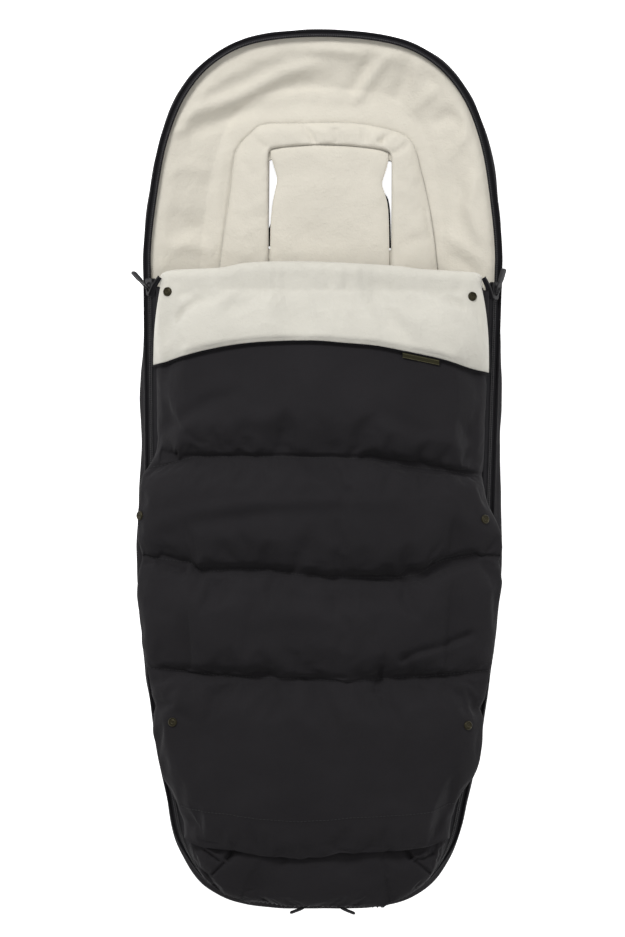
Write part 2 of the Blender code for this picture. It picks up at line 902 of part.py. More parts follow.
def cap_profile(low):
    """Domed snap cap with a groove inside its rim, from the middle of its top to its foot."""
    top = low + snap_cap_height
    return [(0.0, top), (snap_radius - 2 * snap_ring, top),
            (snap_radius - snap_ring, low + snap_groove_share * snap_cap_height),
            (snap_radius - snap_ring / 2, top), (snap_radius, low + snap_rim_share * snap_cap_height),
            (snap_radius, low)]


def build_collar_snaps(layers):
    backing_z, wadding_z, fleece_z, top_z = collar_heights()
    disc_top = seat_gap + stud_height
    socket_low = disc_top + seat_gap
    socket_top = socket_low + socket_height
    cap_low = top_z + seat_gap
    blind_top = socket_low + nub_height + seat_gap
    hole_radius = snap_shank_radius + snap_hole_gap
    pocket_radius = socket_radius + snap_hole_gap
    snaps, studs = [], []
    for side, name in ((-1, "left"), (1, "right")):
        frame = surface_frame(side * collar_snap_x, collar_snap_y, 0)
        profile = cap_profile(cap_low)
        profile += [(snap_shank_radius, cap_low), (snap_shank_radius, socket_top),
                    (socket_radius, socket_top), (socket_radius, socket_low),
                    (nub_radius + snap_hole_gap, socket_low), (nub_radius + snap_hole_gap, blind_top),
                    (0.0, blind_top)]
        snap = turned("collar_snap_" + name, profile, brass("snap_brass_" + name))
        stud_profile = [(0.0, disc_top + nub_height), (nub_radius, disc_top + nub_height),
                        (nub_radius, disc_top), (stud_radius, disc_top), (stud_radius, seat_gap),
                        (0.0, seat_gap)]
        stud = turned("cover_stud_" + name, stud_profile, brass("stud_brass_" + name))
        pocket_top = socket_top + snap_hole_gap
        cut_profile = [(0.0, top_z + cut_overrun), (hole_radius, top_z + cut_overrun),
                       (hole_radius, pocket_top), (pocket_radius, pocket_top),
                       (pocket_radius, -cut_overrun), (0.0, -cut_overrun)]
        cutter = as_cutter(turned("snap_cutter_" + name, cut_profile, None, collection=cutter_collection))
        for item in (snap, stud, cutter):
            item.matrix_world = frame
        for layer in layers:
            combine(layer, cutter, "DIFFERENCE")
        snaps.append(snap)
        studs.append(stud)
    return snaps, studs


def side_snap(name, shell, origin, direction):
    """Snap cap seated on the cover's face where a straight line meets it."""
    mesh = shell.data
    tree = BVHTree.FromPolygons([v.co for v in mesh.vertices], [tuple(p.vertices) for p in mesh.polygons])
    point, normal, _, _ = tree.ray_cast(origin, direction)
    if normal.dot(direction) > 0:
        normal = -normal
    snap = turned(name, cap_profile(0.0) + [(0.0, 0.0)], brass(name + "_brass"))
    snap.matrix_world = face_frame(point + normal * seat_gap, normal)
    return snap


# Harness flap

def flap_outline(low, high, side_gap):
    """Right edge of the flap: narrow at the waist, where the strap slit opens."""
    edge = window_half_width - side_gap
    points = []
    for share, waist in flap_waist_shares:
        y = window_low_y + window_length * share
        points.append((edge - flap_waist * waist, min(max(y, low), high)))
    return [(x + window_x, y) for x, y in mirrored_outline(points)]


def build_harness_flap():
    strip_low = back_floor_top + seat_gap
    hook_low = strip_low + strip_thickness + seat_gap
    fleece_low = hook_low + strip_thickness + seat_gap
    low = window_low_y + flap_hinge_gap
    high = window_high_y - flap_end_gap
    body = flap_outline(low, high, flap_side_gap)
    tongue_x = window_half_width - flap_tongue_end
    tongue = [(window_x + tongue_x, window_top_y), (window_x - tongue_x, window_top_y)]
    half = len(body) // 2
    top_outline = body[:half] + tongue + body[half:]
    fleece = flat_piece("flap_fleece", [top_outline], fleece_low + fleece_thickness / 2,
                        fleece_thickness, cream("flap_fleece"))
    wadding_low = fleece_low - seat_gap - flap_padding
    wadding = flat_piece("flap_wadding", [body], wadding_low + flap_padding / 2,
                         flap_padding, filling("flap_filling"))
    backing_low = wadding_low - seat_gap - cloth_thickness
    backing = flat_piece("flap_backing", [body], backing_low + cloth_thickness / 2,
                         cloth_thickness, black("flap_cloth"))
    strip_y = (window_high_y + window_top_y) / 2
    strip_size = (strip_length, strip_width, strip_thickness)
    hook = block("flap_hook_strip", strip_size, (window_x, strip_y, hook_low + strip_thickness / 2),
                 zip_black("hook_strip"))
    block("harness_loop_strip", strip_size, (window_x, strip_y, strip_low + strip_thickness / 2),
          zip_black("loop_strip"))
    axis = hinge_point("harness_flap_hinge", (window_x, window_low_y, fleece_low + fleece_thickness))
    carry(axis, [fleece, wadding, backing, hook])


# Zip

def nearest_index(y):
    return min(range(half_count), key=lambda k: abs(outline_half[k].y - y))


def build_zip():
    tape = (-tape_width, -tape_edge)
    tape_lift = (-tape_thickness / 2, tape_thickness / 2)
    teeth = (-teeth_edge, -teeth_gap)
    teeth_lift = (-teeth_height / 2, teeth_height / 2)
    front_tape = (tape_edge, tape_width)
    front_teeth = (teeth_gap, teeth_edge)
    everywhere = range(half_count)
    zip_strip("back_zip_tape", everywhere, tape, tape_lift, zip_black("back_tape"), side=0)
    zip_strip("back_zip_teeth", everywhere, teeth, teeth_lift, zip_black("back_teeth"), side=0)
    hinge_index = nearest_index(min(quilt_line_y))
    top_index = nearest_index(side_slider_y)
    foot_strip("foot_zip_tape", hinge_index, (tape_edge, tape_width - rim_gap), tape_lift,
               zip_black("foot_tape"))
    foot_strip("foot_zip_teeth", hinge_index, front_teeth, teeth_lift, zip_black("foot_teeth"))
    moving = []
    run = range(hinge_index + 1, top_index + 1)
    for side, name in ((-1, "left"), (1, "right")):
        moving.append(zip_strip("cover_zip_tape_" + name, run, front_tape, tape_lift,
                                zip_black("cover_tape_" + name), side))
        moving.append(zip_strip("cover_zip_teeth_" + name, run, front_teeth, teeth_lift,
                                zip_black("cover_teeth_" + name), side))
    return moving


# Sliders and pulls

def build_slider(name, frame):
    """Zip slider: two plates joined by a neck, with a bridge for the pull on top."""
    plate_centre = (slider_throat + slider_plate) / 2
    top = slider_throat / 2 + slider_plate
    plate = (slider_width, slider_length, slider_plate)
    body = block(name, plate, (0, 0, plate_centre), zip_black(name + "_metal"))
    lower = block(name + "_lower", plate, (0, 0, -plate_centre), collection=cutter_collection)
    neck_y = (slider_length - slider_neck_length) / 2
    neck = block(name + "_neck", (slider_neck_width, slider_neck_length, slider_throat + slider_plate),
                 (0, neck_y, 0), collection=cutter_collection)
    bridge = block(name + "_bridge", (bridge_width, bridge_length, bridge_height + slider_plate / 2),
                   (0, 0, top - slider_plate / 4 + bridge_height / 2), collection=cutter_collection)
    hole = block(name + "_hole", (2 * bridge_width, bridge_hole_length, bridge_hole_height),
                 (0, 0, top + bridge_hole_height / 2), collection=cutter_collection)
    for other, operation in ((lower, "UNION"), (neck, "UNION"), (bridge, "UNION"), (hole, "DIFFERENCE")):
        combine(body, as_cutter(other), operation)
        other.matrix_world = frame
    body.matrix_world = frame
    return body


def build_pull(name, frame, angle):
    """Flat pull whose pin lies in the slider's bridge; it points along the slider's nose."""
    half = pull_width / 2
    far = pull_length
    corner = half * pull_corner_share
    plate = [(half, -pull_pin / 2), (half, far - corner), (half - corner, far),
             (corner - half, far), (-half, far - corner), (-half, -pull_pin / 2)]
    eye = [(pull_eye_width / 2, pull_pin / 2), (pull_eye_width / 2, pull_eye_length),
           (-pull_eye_width / 2, pull_eye_length), (-pull_eye_width / 2, pull_pin / 2)]
    pull = flat_piece(name, [plate, eye], 0.0, pull_thickness, zip_black(name + "_rubber"))
    pivot_height = slider_throat / 2 + slider_plate + bridge_hole_height / 2
    pull.matrix_world = frame @ Matrix.Translation((0, 0, pivot_height)) @ Matrix.Rotation(angle, 4, "X")
    return pull


def zip_frame(index, place, side, along):
    """Frame at a place on the zip's line: Y along the slider's travel, Z off the face."""
    tilt = zip_tilt(zip_half[index].y)
    normal_flat = zip_normals[index]
    normal = Vector((side * normal_flat.x * sin(tilt), normal_flat.y * sin(tilt), cos(tilt)))
    return face_frame(place, normal.normalized(), along)


def build_side_sliders():
    low = zip_half[nearest_index(side_run_low_y)]
    high = zip_half[nearest_index(side_run_high_y)]
    share = (side_slider_y - low.y) / (high.y - low.y)
    spot = low.lerp(high, share)
    index = nearest_index(side_slider_y)
    direction = (high - low).normalized()
    for side, name, angle in ((-1, "left", left_pull_angle), (1, "right", right_pull_angle)):
        along = Vector((side * direction.x, direction.y, 0))
        frame = zip_frame(index, Vector((side * spot.x, spot.y, zip_height)), side, along)
        build_slider("slider_" + name, frame)
        build_pull("pull_" + name, frame, angle)


def build_foot_sliders():
    foot_y = zip_half[0].y
    offset = (slider_length + foot_slider_gap) / 2
    for side, name in ((-1, "left"), (1, "right")):
        spot = Vector((foot_meet_x + side * offset, foot_y, zip_height))
        frame = zip_frame(0, spot, side, Vector((side, 0, 0)))
        build_slider("foot_slider_" + name, frame)
        build_pull("foot_pull_" + name, frame, foot_pull_angle)


def main():
    global part_collection, cutter_collection
    clear_scene()
    part_collection = make_collection("stroller_footmuff")
    cutter_collection = make_collection("cutters")

    build_back()
    build_arch_pad()
    build_harness_flap()
    lower_shell = build_lower_cover()
    build_toe_box()
    cover = build_front_cover()
    collar_layers, collar_trim = build_collar()
    collar_snaps, studs = build_collar_snaps(collar_layers)
    moving_zip = build_zip()
    build_side_sliders()
    build_foot_sliders()

    bpy.context.view_layer.update()
    from_right, from_left, down = Vector((-1, 0, 0)), Vector((1, 0, 0)), Vector((0, 0, -1))
    upper = [side_snap("side_snap_upper_left", cover[0], Vector((-width, upper_snap_y, upper_snap_z)),
                       from_left),
             side_snap("side_snap_upper_right", cover[0], Vector((upper_snap_x, upper_snap_y, width)), down)]
    side_snap("side_snap_lower_left", lower_shell, Vector((-lower_snap_x, lower_snap_y, width)), down)
    side_snap("side_snap_lower_right", lower_shell, Vector((lower_snap_x, lower_snap_y, width)), down)

    cover_axis = hinge_point("front_cover_hinge",
                             (0, min(quilt_line_y), crown_height(min(quilt_line_y), True)))
    collar_axis = hinge_point("fold_over_hinge", (0, roll_y, roll_z))
    carry(cover_axis, cover + studs + upper + moving_zip)
    carry(collar_axis, collar_layers + collar_trim + collar_snaps)
    carry(cover_axis, [collar_axis])


main()
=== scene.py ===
"""Stroller footmuff: fabric, fleece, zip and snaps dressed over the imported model.

Metres. X is the width, +Y points to the head end, +Z is up.
"""
from math import cos, pi, radians, sin

import bmesh
import bpy
import numpy as np
from mathutils import Matrix, Vector, noise


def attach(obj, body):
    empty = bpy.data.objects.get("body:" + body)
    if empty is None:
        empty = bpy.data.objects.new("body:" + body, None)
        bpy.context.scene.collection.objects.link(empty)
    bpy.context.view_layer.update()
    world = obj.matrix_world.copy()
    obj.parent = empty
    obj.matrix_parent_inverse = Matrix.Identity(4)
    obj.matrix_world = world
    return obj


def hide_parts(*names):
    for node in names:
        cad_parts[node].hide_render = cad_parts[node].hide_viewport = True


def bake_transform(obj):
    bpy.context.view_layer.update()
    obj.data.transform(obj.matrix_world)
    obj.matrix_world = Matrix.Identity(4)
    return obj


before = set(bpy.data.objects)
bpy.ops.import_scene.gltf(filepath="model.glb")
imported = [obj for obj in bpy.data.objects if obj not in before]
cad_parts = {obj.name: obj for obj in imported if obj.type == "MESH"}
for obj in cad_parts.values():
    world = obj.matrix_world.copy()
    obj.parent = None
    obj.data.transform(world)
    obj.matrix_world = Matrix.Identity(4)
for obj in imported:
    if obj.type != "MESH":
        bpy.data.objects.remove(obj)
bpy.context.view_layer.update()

# Scale of the photograph and the slope of the muff's middle line in it
METRES_PER_PIXEL = 0.001135
PICTURE_WIDTH, PICTURE_HEIGHT = 625, 937
MIDDLE_PIXEL = (320.5, 468.8)
MIDDLE_SLOPE = 0.0112

# Sizes shared with the solids
LENGTH, WIDTH = 1.000, 0.416
SIDE_HEIGHT, ZIP_HEIGHT = 0.026, 0.050
ZIP_INSET, FOOT_ZIP_INSET = 0.009, 0.010
TAPE_WIDTH, TAPE_THICKNESS, RIM_GAP = 0.009, 0.0009, 0.0008
TOOTH_PITCH, TOOTH_LENGTH, TOOTH_HEIGHT = 0.0021, 0.0013, 0.0022
SIDE_RUN = (-0.238, 0.237)
SIDE_TILT, FOOT_TILT = radians(50), radians(90)
FOOT_TILT_RUN = (-0.400, -0.470)
FLOOR_TOP = 0.022
MOUTH_Y, HINGE_Y, HEM_Y = 0.2045, -0.235, -0.424
HINGE_REACH = 0.022
CROWN, MOUTH_CROWN = 0.108, 0.069
WINDOW_X, WINDOW_HALF, WINDOW_LOW, WINDOW_HIGH = 0.006, 0.069, 0.250, 0.352
ROLL_Z, ROLL_RADIUS = 0.068, 0.0130
OUTLINE_SHARES = (
    (0.000, -1.000), (0.200, -1.000), (0.385, -0.992), (0.540, -0.970), (0.663, -0.930),
    (0.770, -0.848), (0.822, -0.752), (0.885, -0.620), (0.938, -0.476), (0.986, -0.300),
    (1.000, -0.150), (0.981, 0.030), (0.990, 0.180), (0.971, 0.320), (0.986, 0.474),
    (0.957, 0.610), (0.899, 0.746), (0.793, 0.856), (0.625, 0.936), (0.385, 0.984), (0.000, 1.000),
)
CLOTH_STANDS, FLEECE_THICKNESS = 0.0024, 0.0020
RING_COLUMNS = 480
COVER_COLUMNS = 121
ROUND_POWER = 2.6
UP = np.array([0.0, 0.0, 1.0])


# Numbers and curves

def spot(px, py):
    """Place on the muff, in metres, of a point of the photograph."""
    y = (MIDDLE_PIXEL[1] - py) * METRES_PER_PIXEL
    return (px - MIDDLE_PIXEL[0]) * METRES_PER_PIXEL - MIDDLE_SLOPE * y, y


def spots(pixels):
    """Places of points given as pixels, in pairs or in one run."""
    return np.array([spot(px, py) for px, py in np.reshape(pixels, (-1, 2))])


def ease(value):
    """Soft step from 0 to 1."""
    share = np.clip(value, 0.0, 1.0)
    return share * share * (3.0 - 2.0 * share)


def cubic(p0, p1, p2, p3, t):
    """Smooth curve from p1 to p2 that heeds the points before and after."""
    return 0.5 * (2 * p1 + (p2 - p0) * t + (2 * p0 - 5 * p1 + 4 * p2 - p3) * t ** 2
                  + (3 * p1 - p0 - 3 * p2 + p3) * t ** 3)


def through(points, count, closed=False):
    """Points evenly spaced along a smooth curve through stations."""
    points = np.asarray(points, float)
    total = len(points)
    dense = []
    for k in range(total if closed else total - 1):
        near = [k + j for j in (-1, 0, 1, 2)]
        near = [j % total if closed else min(max(j, 0), total - 1) for j in near]
        dense.append(cubic(*points[near], np.linspace(0, 1, 24, endpoint=False)[:, None]))
    dense = np.vstack(dense + [points[:1] if closed else points[-1:]])
    return even(dense, count, closed)


def run_lengths(line):
    """Length of a polyline up to each of its points."""
    return np.r_[0, np.cumsum(np.linalg.norm(np.diff(line, axis=0), axis=1))]


def sample(values, marks, line=None):
    """Values at running lengths of a polyline, which is the values' own unless one is given."""
    steps = run_lengths(values if line is None else line)
    return np.column_stack([np.interp(marks, steps, column) for column in values.T])


def even(line, count, closed=False):
    """Polyline resampled to a count of evenly spaced points."""
    line = np.asarray(line, float)
    return sample(line, np.linspace(0, run_lengths(line)[-1], count, endpoint=not closed))


def unit(vectors):
    """Vectors brought to length 1."""
    return vectors / np.maximum(np.linalg.norm(vectors, axis=-1), 1e-12)[..., None]


def raised(flat, z):
    """Flat points given a height, one for all or one each."""
    return np.concatenate([flat, np.broadcast_to(z, flat.shape[:-1])[..., None]], -1)


def rows_through(controls, shares):
    """Rings or rows on smooth curves through control rows, at running indices."""
    controls = np.asarray(controls, float)
    last = len(controls) - 1
    result = []
    for share in shares:
        k = min(int(share), last - 1)
        near = (controls[min(max(j, 0), last)] for j in (k - 1, k, k + 1, k + 2))
        result.append(cubic(*near, share - k))
    return np.array(result)


def line_distance(points, line):
    """Distance of 2D points from a polyline, and the share of the way along it."""
    best = np.full(points.shape[:-1], 1e9)
    along = np.zeros(points.shape[:-1])
    lengths = run_lengths(line)
    for k, (a, b) in enumerate(zip(line[:-1], line[1:])):
        ab = b - a
        t = np.clip(((points - a) @ ab) / max(ab @ ab, 1e-12), 0, 1)
        away = np.linalg.norm(points - (a + t[..., None] * ab), axis=-1)
        nearer = away < best
        best = np.where(nearer, away, best)
        along = np.where(nearer, (lengths[k] + t * (lengths[k + 1] - lengths[k])) / lengths[-1], along)
    return best, along


def relief(points, table):
    """For each row of a table: its size, and distance over reach and share along at the points."""
    for size, reach, *pixels in table:
        away, along = line_distance(points, even(spots(pixels), 24))
        yield size / 1000, away / (reach / 1000), along


def folds(points, table):
    """Height of soft folds: rows of height and reach in millimetres and pixels of a line."""
    return sum(rise * np.exp(-away ** 2) * np.sin(np.clip(along, 0, 1) * pi) ** 0.6
               for rise, away, along in relief(points, table))


def creases(points, table):
    """Depth of sewn or sharp lines: rows of depth and reach in millimetres and pixels of a line."""
    return sum(drop * np.exp(-away ** 1.8) * ease(np.minimum(along, 1 - along) / 0.12)
               for drop, away, along in relief(points, table))


def ripple(points, scale, seed, octaves=2):
    """Smooth noise from -1 to 1 at each point."""
    flat = points.reshape(-1, points.shape[-1])
    values = np.empty(len(flat))
    for k, p in enumerate(flat):
        z = p[2] * scale if len(p) > 2 else 0.0
        values[k] = noise.fractal(Vector((p[0] * scale + seed, p[1] * scale - seed, z)), 1.0, 2.0, octaves)
    return values.reshape(points.shape[:-1])


# Outline and zip line, right round from the middle of the foot

def outline_loop():
    """Outer edge of the back, seen from above."""
    half = [(x * WIDTH / 2, y * LENGTH / 2) for x, y in OUTLINE_SHARES]
    left = [(-x, y) for x, y in half[-2:0:-1]]
    return through(half + left, RING_COLUMNS, closed=True)


def loop_normals(points):
    """Outward directions of a closed line that runs against the clock."""
    along = np.roll(points, -1, axis=0) - np.roll(points, 1, axis=0)
    return unit(np.column_stack([along[:, 1], -along[:, 0]]))


def zip_loop(points, normals):
    """Zip's line inside the outline, straight along the sides and across the foot."""
    line = points - normals * ZIP_INSET
    side = np.abs(points[:, 0])
    run = (points[:, 1] >= SIDE_RUN[0]) & (points[:, 1] <= SIDE_RUN[1])
    ends = []
    for y in SIDE_RUN:
        k = np.argmin(np.abs(points[:RING_COLUMNS // 2, 1] - y))
        ends.append((points[k, 1], line[k, 0]))
    line[run, 0] = np.sign(points[run, 0]) * np.interp(points[run, 1], *zip(*ends))
    line[run, 1] = points[run, 1]
    foot = (points[:, 1] < -0.45) & (side < 0.0803)
    line[foot] = np.column_stack([points[foot, 0], np.full(foot.sum(), FOOT_ZIP_INSET - LENGTH / 2)])
    return line


outline = outline_loop()
outline_normal = loop_normals(outline)
zip_line = zip_loop(outline, outline_normal)
zip_normal = loop_normals(zip_line)
zip_tilt = SIDE_TILT + (FOOT_TILT - SIDE_TILT) * ease(
    (FOOT_TILT_RUN[0] - zip_line[:, 1]) / (FOOT_TILT_RUN[0] - FOOT_TILT_RUN[1]))


def ring(inset, z):
    """Outline drawn inward and set at a height."""
    return raised(outline - outline_normal * inset, z)


def zip_ring(across, lift=0.0):
    """Points beside the zip's line: across runs up the tape, lift stands off its face."""
    inward = across * np.cos(zip_tilt) - lift * np.sin(zip_tilt)
    up = across * np.sin(zip_tilt) + lift * np.cos(zip_tilt)
    return raised(zip_line - zip_normal * inward[:, None], ZIP_HEIGHT + up)


def zip_inset_ring(inset, z):
    """Zip's line drawn inward and set at a height."""
    return raised(zip_line - zip_normal * inset, z)


# Meshes from grids of points

def grid_faces(rows, columns, closed_rows=False, closed_columns=False, start=0, flip=False):
    """Corner numbers of the faces of a grid of points."""
    row = np.arange(rows if closed_rows else rows - 1)
    column = np.arange(columns if closed_columns else columns - 1)
    r, c = np.meshgrid(row, column, indexing="ij")
    r2, c2 = (r + 1) % rows, (c + 1) % columns
    corners = [r * columns + c, r * columns + c2, r2 * columns + c2, r2 * columns + c]
    faces = np.stack(corners, axis=-1).reshape(-1, 4) + start
    return faces[:, ::-1] if flip else faces


def placed(name, data):
    """Object of a mesh, curve, light or camera, linked to the scene."""
    item = bpy.data.objects.new(name, data)
    bpy.context.scene.collection.objects.link(item)
    return item


def make_mesh(name, points, faces, smooth=True):
    """Mesh of faces with four corners."""
    mesh = bpy.data.meshes.new(name)
    faces = np.asarray(faces, np.int32)
    mesh.vertices.add(len(points))
    mesh.vertices.foreach_set("co", np.asarray(points, np.float32).ravel())
    mesh.loops.add(faces.size)
    mesh.loops.foreach_set("vertex_index", faces.ravel())
    mesh.polygons.add(len(faces))
    mesh.polygons.foreach_set("loop_start", np.arange(0, faces.size, faces.shape[1], dtype=np.int32))
    mesh.update(calc_edges=True)
    mesh.validate()
    if smooth:
        mesh.shade_smooth()
    return placed(name, mesh)


def mixed_mesh(name, points, polygons, matrix=None, sharp=None):
    """Mesh of polygons of any size; sharp is the angle in degrees above which an edge stays hard."""
    mesh = bpy.data.meshes.new(name)
    mesh.from_pydata([tuple(p) for p in points], [], [tuple(f) for f in polygons])
    if matrix:
        mesh.transform(matrix)
    mesh.validate()
    item = placed(name, mesh)
    if sharp:
        fix_normals(item)
    mesh.shade_smooth()
    if sharp:
        mesh.set_sharp_from_angle(angle=radians(sharp))
    return item


def through_rings(name, rings, matrix, sharp):
    """Body through rings of equally many points, with flat ends."""
    rings = np.array(rings)
    sides, total = rings.shape[1], rings.shape[0] * rings.shape[1]
    polygons = grid_faces(len(rings), sides, closed_columns=True).tolist()
    polygons += [range(sides)[::-1], range(total - sides, total)]
    return mixed_mesh(name, rings.reshape(-1, 3), polygons, matrix, sharp)


def fix_normals(item):
    """Turn all faces outward."""
    builder = bmesh.new()
    builder.from_mesh(item.data)
    bmesh.ops.recalc_face_normals(builder, faces=builder.faces)
    builder.to_mesh(item.data)
    builder.free()


def grid_normals(grid):
    """Unit normals of a grid of points; up for a grid whose rows run to +Y and columns to +X."""
    return unit(np.cross(np.gradient(grid, axis=1), np.gradient(grid, axis=0)))


def body_between(name, top, bottom, closed_columns=False):
    """Closed body between two grids of the same layout."""
    rows, columns = top.shape[:2]
    count = rows * columns
    points = np.vstack([top.reshape(-1, 3), bottom.reshape(-1, 3)])
    faces = [grid_faces(rows, columns, closed_columns=closed_columns),
             grid_faces(rows, columns, closed_columns=closed_columns, start=count, flip=True)]
    index = np.arange(count).reshape(rows, columns)
    edges = [(index[0], True), (index[-1], False)]
    if not closed_columns:
        edges += [(index[:, 0], False), (index[:, -1], True)]
    for edge, flip in edges:
        a, b = edge[:-1], edge[1:]
        if closed_columns:
            a, b = edge, np.roll(edge, -1)
        wall = np.column_stack([b, a, a + count, b + count])
        faces.append(wall[:, ::-1] if flip else wall)
    return make_mesh(name, points, np.vstack(faces))


def tube(name, path, radius, sides=8, closed=False, flatten=1.0, up=(0, 0, 1)):
    """Round or oval tube along a path, capped when open."""
    path = np.asarray(path, float)
    along = np.roll(path, -1, 0) - np.roll(path, 1, 0) if closed else np.gradient(path, axis=0)
    along = unit(along)
    side = unit(np.cross(along, np.asarray(up, float)))
    top = np.cross(side, along)
    angles = np.arange(sides) * 2 * pi / sides
    grid = (path[:, None] + radius * np.cos(angles)[None, :, None] * side[:, None]
            + flatten * radius * np.sin(angles)[None, :, None] * top[:, None])
    points = grid.reshape(-1, 3)
    polygons = grid_faces(len(path), sides, closed_rows=closed, closed_columns=True).tolist()
    if not closed:
        tip = len(points)
        points = np.vstack([points, path[0], path[-1]])
        pairs = [(k, (k + 1) % sides) for k in range(sides)]
        polygons += [(k, after, tip) for k, after in pairs]
        polygons += [(tip - sides + after, tip - sides + k, tip + 1) for k, after in pairs]
    return mixed_mesh(name, points, polygons)


def small_boxes(name, centres, along, across, sizes, bevel):
    """Many small rounded boxes as one mesh, each with two directions of its own."""
    axes = np.stack([along, across, np.cross(along, across)], axis=1)
    signs = np.array([(x, y, z) for x in (-1, 1) for y in (-1, 1) for z in (-1, 1)], float) / 2
    points = np.einsum("kj,njd->nkd", signs * np.asarray(sizes, float), axes) + centres[:, None]
    quads = np.array([(0, 1, 3, 2), (4, 6, 7, 5), (0, 4, 5, 1), (2, 3, 7, 6), (0, 2, 6, 4), (1, 5, 7, 3)])
    faces = (quads[None] + 8 * np.arange(len(centres))[:, None, None]).reshape(-1, 4)
    item = make_mesh(name, points.reshape(-1, 3), faces, smooth=False)
    rounding = item.modifiers.new("Rounded", "BEVEL")
    rounding.width = bevel
    rounding.segments = 2
    return item


def marks_along(line, pitch, ahead):
    """Running lengths of evenly spaced marks on a line, with their places and directions."""
    total = run_lengths(line)[-1]
    count = max(int(total / pitch), 2)
    marks = (np.arange(count) + 0.5) * total / count
    centres = sample(line, marks)
    return marks, centres, unit(sample(line, marks + ahead) - centres)


def bend(item):
    """Piece of the front cover, with its transform baked into its mesh."""
    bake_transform(item)


def dress(item, look, body, slot, *nodes):
    """Give a piece its material and body, and hide the nodes that it stands for; the finish slot is not
    used.
    """
    item.data.materials.append(look)
    if body:
        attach(item, body)
    if nodes:
        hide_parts(*nodes)
    return item


# Materials

def new_material(name, colour, roughness, **sockets):
    """Material with its shader's sockets set by name."""
    look = bpy.data.materials.new(name)
    look.use_nodes = True
    shader = look.node_tree.nodes["Principled BSDF"]
    shader.inputs["Base Color"].default_value = (*colour, 1)
    shader.inputs["Roughness"].default_value = roughness
    for socket, value in sockets.items():
        shader.inputs[socket.replace("_", " ")].default_value = value
    return look


def node(look, kind, **values):
    """Shader node with its inputs and settings set by name."""
    made = look.node_tree.nodes.new(kind)
    for key, value in values.items():
        if key in made.inputs:
            made.inputs[key].default_value = value
        else:
            setattr(made, key, value)
    return made


def parts_of(look):
    """Links, object coordinates and shader of a material."""
    tree = look.node_tree
    return tree.links, node(look, "ShaderNodeTexCoord").outputs["Object"], tree.nodes["Principled BSDF"]


def clouds(look, place, scale, detail=3.0, **values):
    """Noise over the surface."""
    field = node(look, "ShaderNodeTexNoise", Scale=scale, Detail=detail, **values)
    look.node_tree.links.new(place, field.inputs["Vector"])
    return field.outputs["Fac"]


def vary_colour(look, place, colour, spread, scale, detail=3.0):
    """Soft cloudy change of brightness over the surface."""
    links = look.node_tree.links
    ramp = node(look, "ShaderNodeValToRGB")
    low, high = ramp.color_ramp.elements
    low.position, high.position = 0.3, 0.7
    low.color = (*(c * (1 - spread) for c in colour), 1)
    high.color = (*(min(c * (1 + spread), 1) for c in colour), 1)
    links.new(clouds(look, place, scale, detail), ramp.inputs["Fac"])
    links.new(ramp.outputs["Color"], look.node_tree.nodes["Principled BSDF"].inputs["Base Color"])


def stacked_bumps(look, *layers):
    """Bump nodes in a chain: each a height output and a distance in metres."""
    links = look.node_tree.links
    normal = None
    for height, distance in layers:
        bump = node(look, "ShaderNodeBump", Strength=1.0, Distance=distance)
        links.new(height, bump.inputs["Height"])
        if normal:
            links.new(normal, bump.inputs["Normal"])
        normal = bump.outputs["Normal"]
    links.new(normal, look.node_tree.nodes["Principled BSDF"].inputs["Normal"])


def woven(name, colour, thread=0.0007, sheen=0.05):
    """Matte plain-weave cloth."""
    look = new_material(name, colour, 0.80, Sheen_Weight=sheen, Sheen_Roughness=0.45,
                        Specular_IOR_Level=0.05)
    links, place, _ = parts_of(look)
    vary_colour(look, place, colour, 0.07, 14.0)
    both = node(look, "ShaderNodeMath", operation="MULTIPLY")
    for k, direction in enumerate("XY"):
        wave = node(look, "ShaderNodeTexWave", Scale=pi / (10 * thread), Distortion=1.2)
        wave.inputs["Detail Scale"].default_value = 40.0
        wave.bands_direction = direction
        links.new(place, wave.inputs["Vector"])
        links.new(wave.outputs["Fac"], both.inputs[k])
    stacked_bumps(look, (clouds(look, place, 38.0), 0.0012), (clouds(look, place, 260.0, 4.0), 0.00022),
                  (both.outputs[0], 0.00010))
    return look


def fleece(name, colour):
    """Short-pile fleece: matted tufts, soft sheen and faint shade changes."""
    look = new_material(name, colour, 0.96, Sheen_Weight=0.28, Sheen_Roughness=0.6,
                        Specular_IOR_Level=0.12)
    _, place, _ = parts_of(look)
    vary_colour(look, place, colour, 0.035, 26.0, 6.0)
    stacked_bumps(look, (clouds(look, place, 34.0, 2.0), 0.0016), (clouds(look, place, 120.0), 0.0007),
                  (clouds(look, place, 420.0, 5.0, Roughness=0.65), 0.00055))
    return look


def ribbed_tape(name, colour):
    """Woven zip tape with fine cross ribs."""
    look = new_material(name, colour, 0.8, Sheen_Weight=0.03, Specular_IOR_Level=0.12)
    links, place, _ = parts_of(look)
    ribs = node(look, "ShaderNodeTexWave", Scale=330.0, Distortion=2.0)
    ribs.bands_direction = "DIAGONAL"
    links.new(place, ribs.inputs["Vector"])
    stacked_bumps(look, (ribs.outputs["Fac"], 0.00012))
    return look


def speckled(name, colour, roughness, metallic=0.0):
    """Moulded plastic or metal with fine grain, worn patches and uneven gloss."""
    look = new_material(name, colour, roughness, Metallic=metallic)
    links, place, shader = parts_of(look)
    vary_colour(look, place, colour, 0.2, 300.0)
    span = node(look, "ShaderNodeMapRange")
    span.inputs["To Min"].default_value = roughness - 0.1
    span.inputs["To Max"].default_value = roughness + 0.15
    links.new(clouds(look, place, 180.0, 4.0), span.inputs["Value"])
    links.new(span.outputs["Result"], shader.inputs["Roughness"])
    stacked_bumps(look, (clouds(look, place, 900.0), 0.00004))
    return look


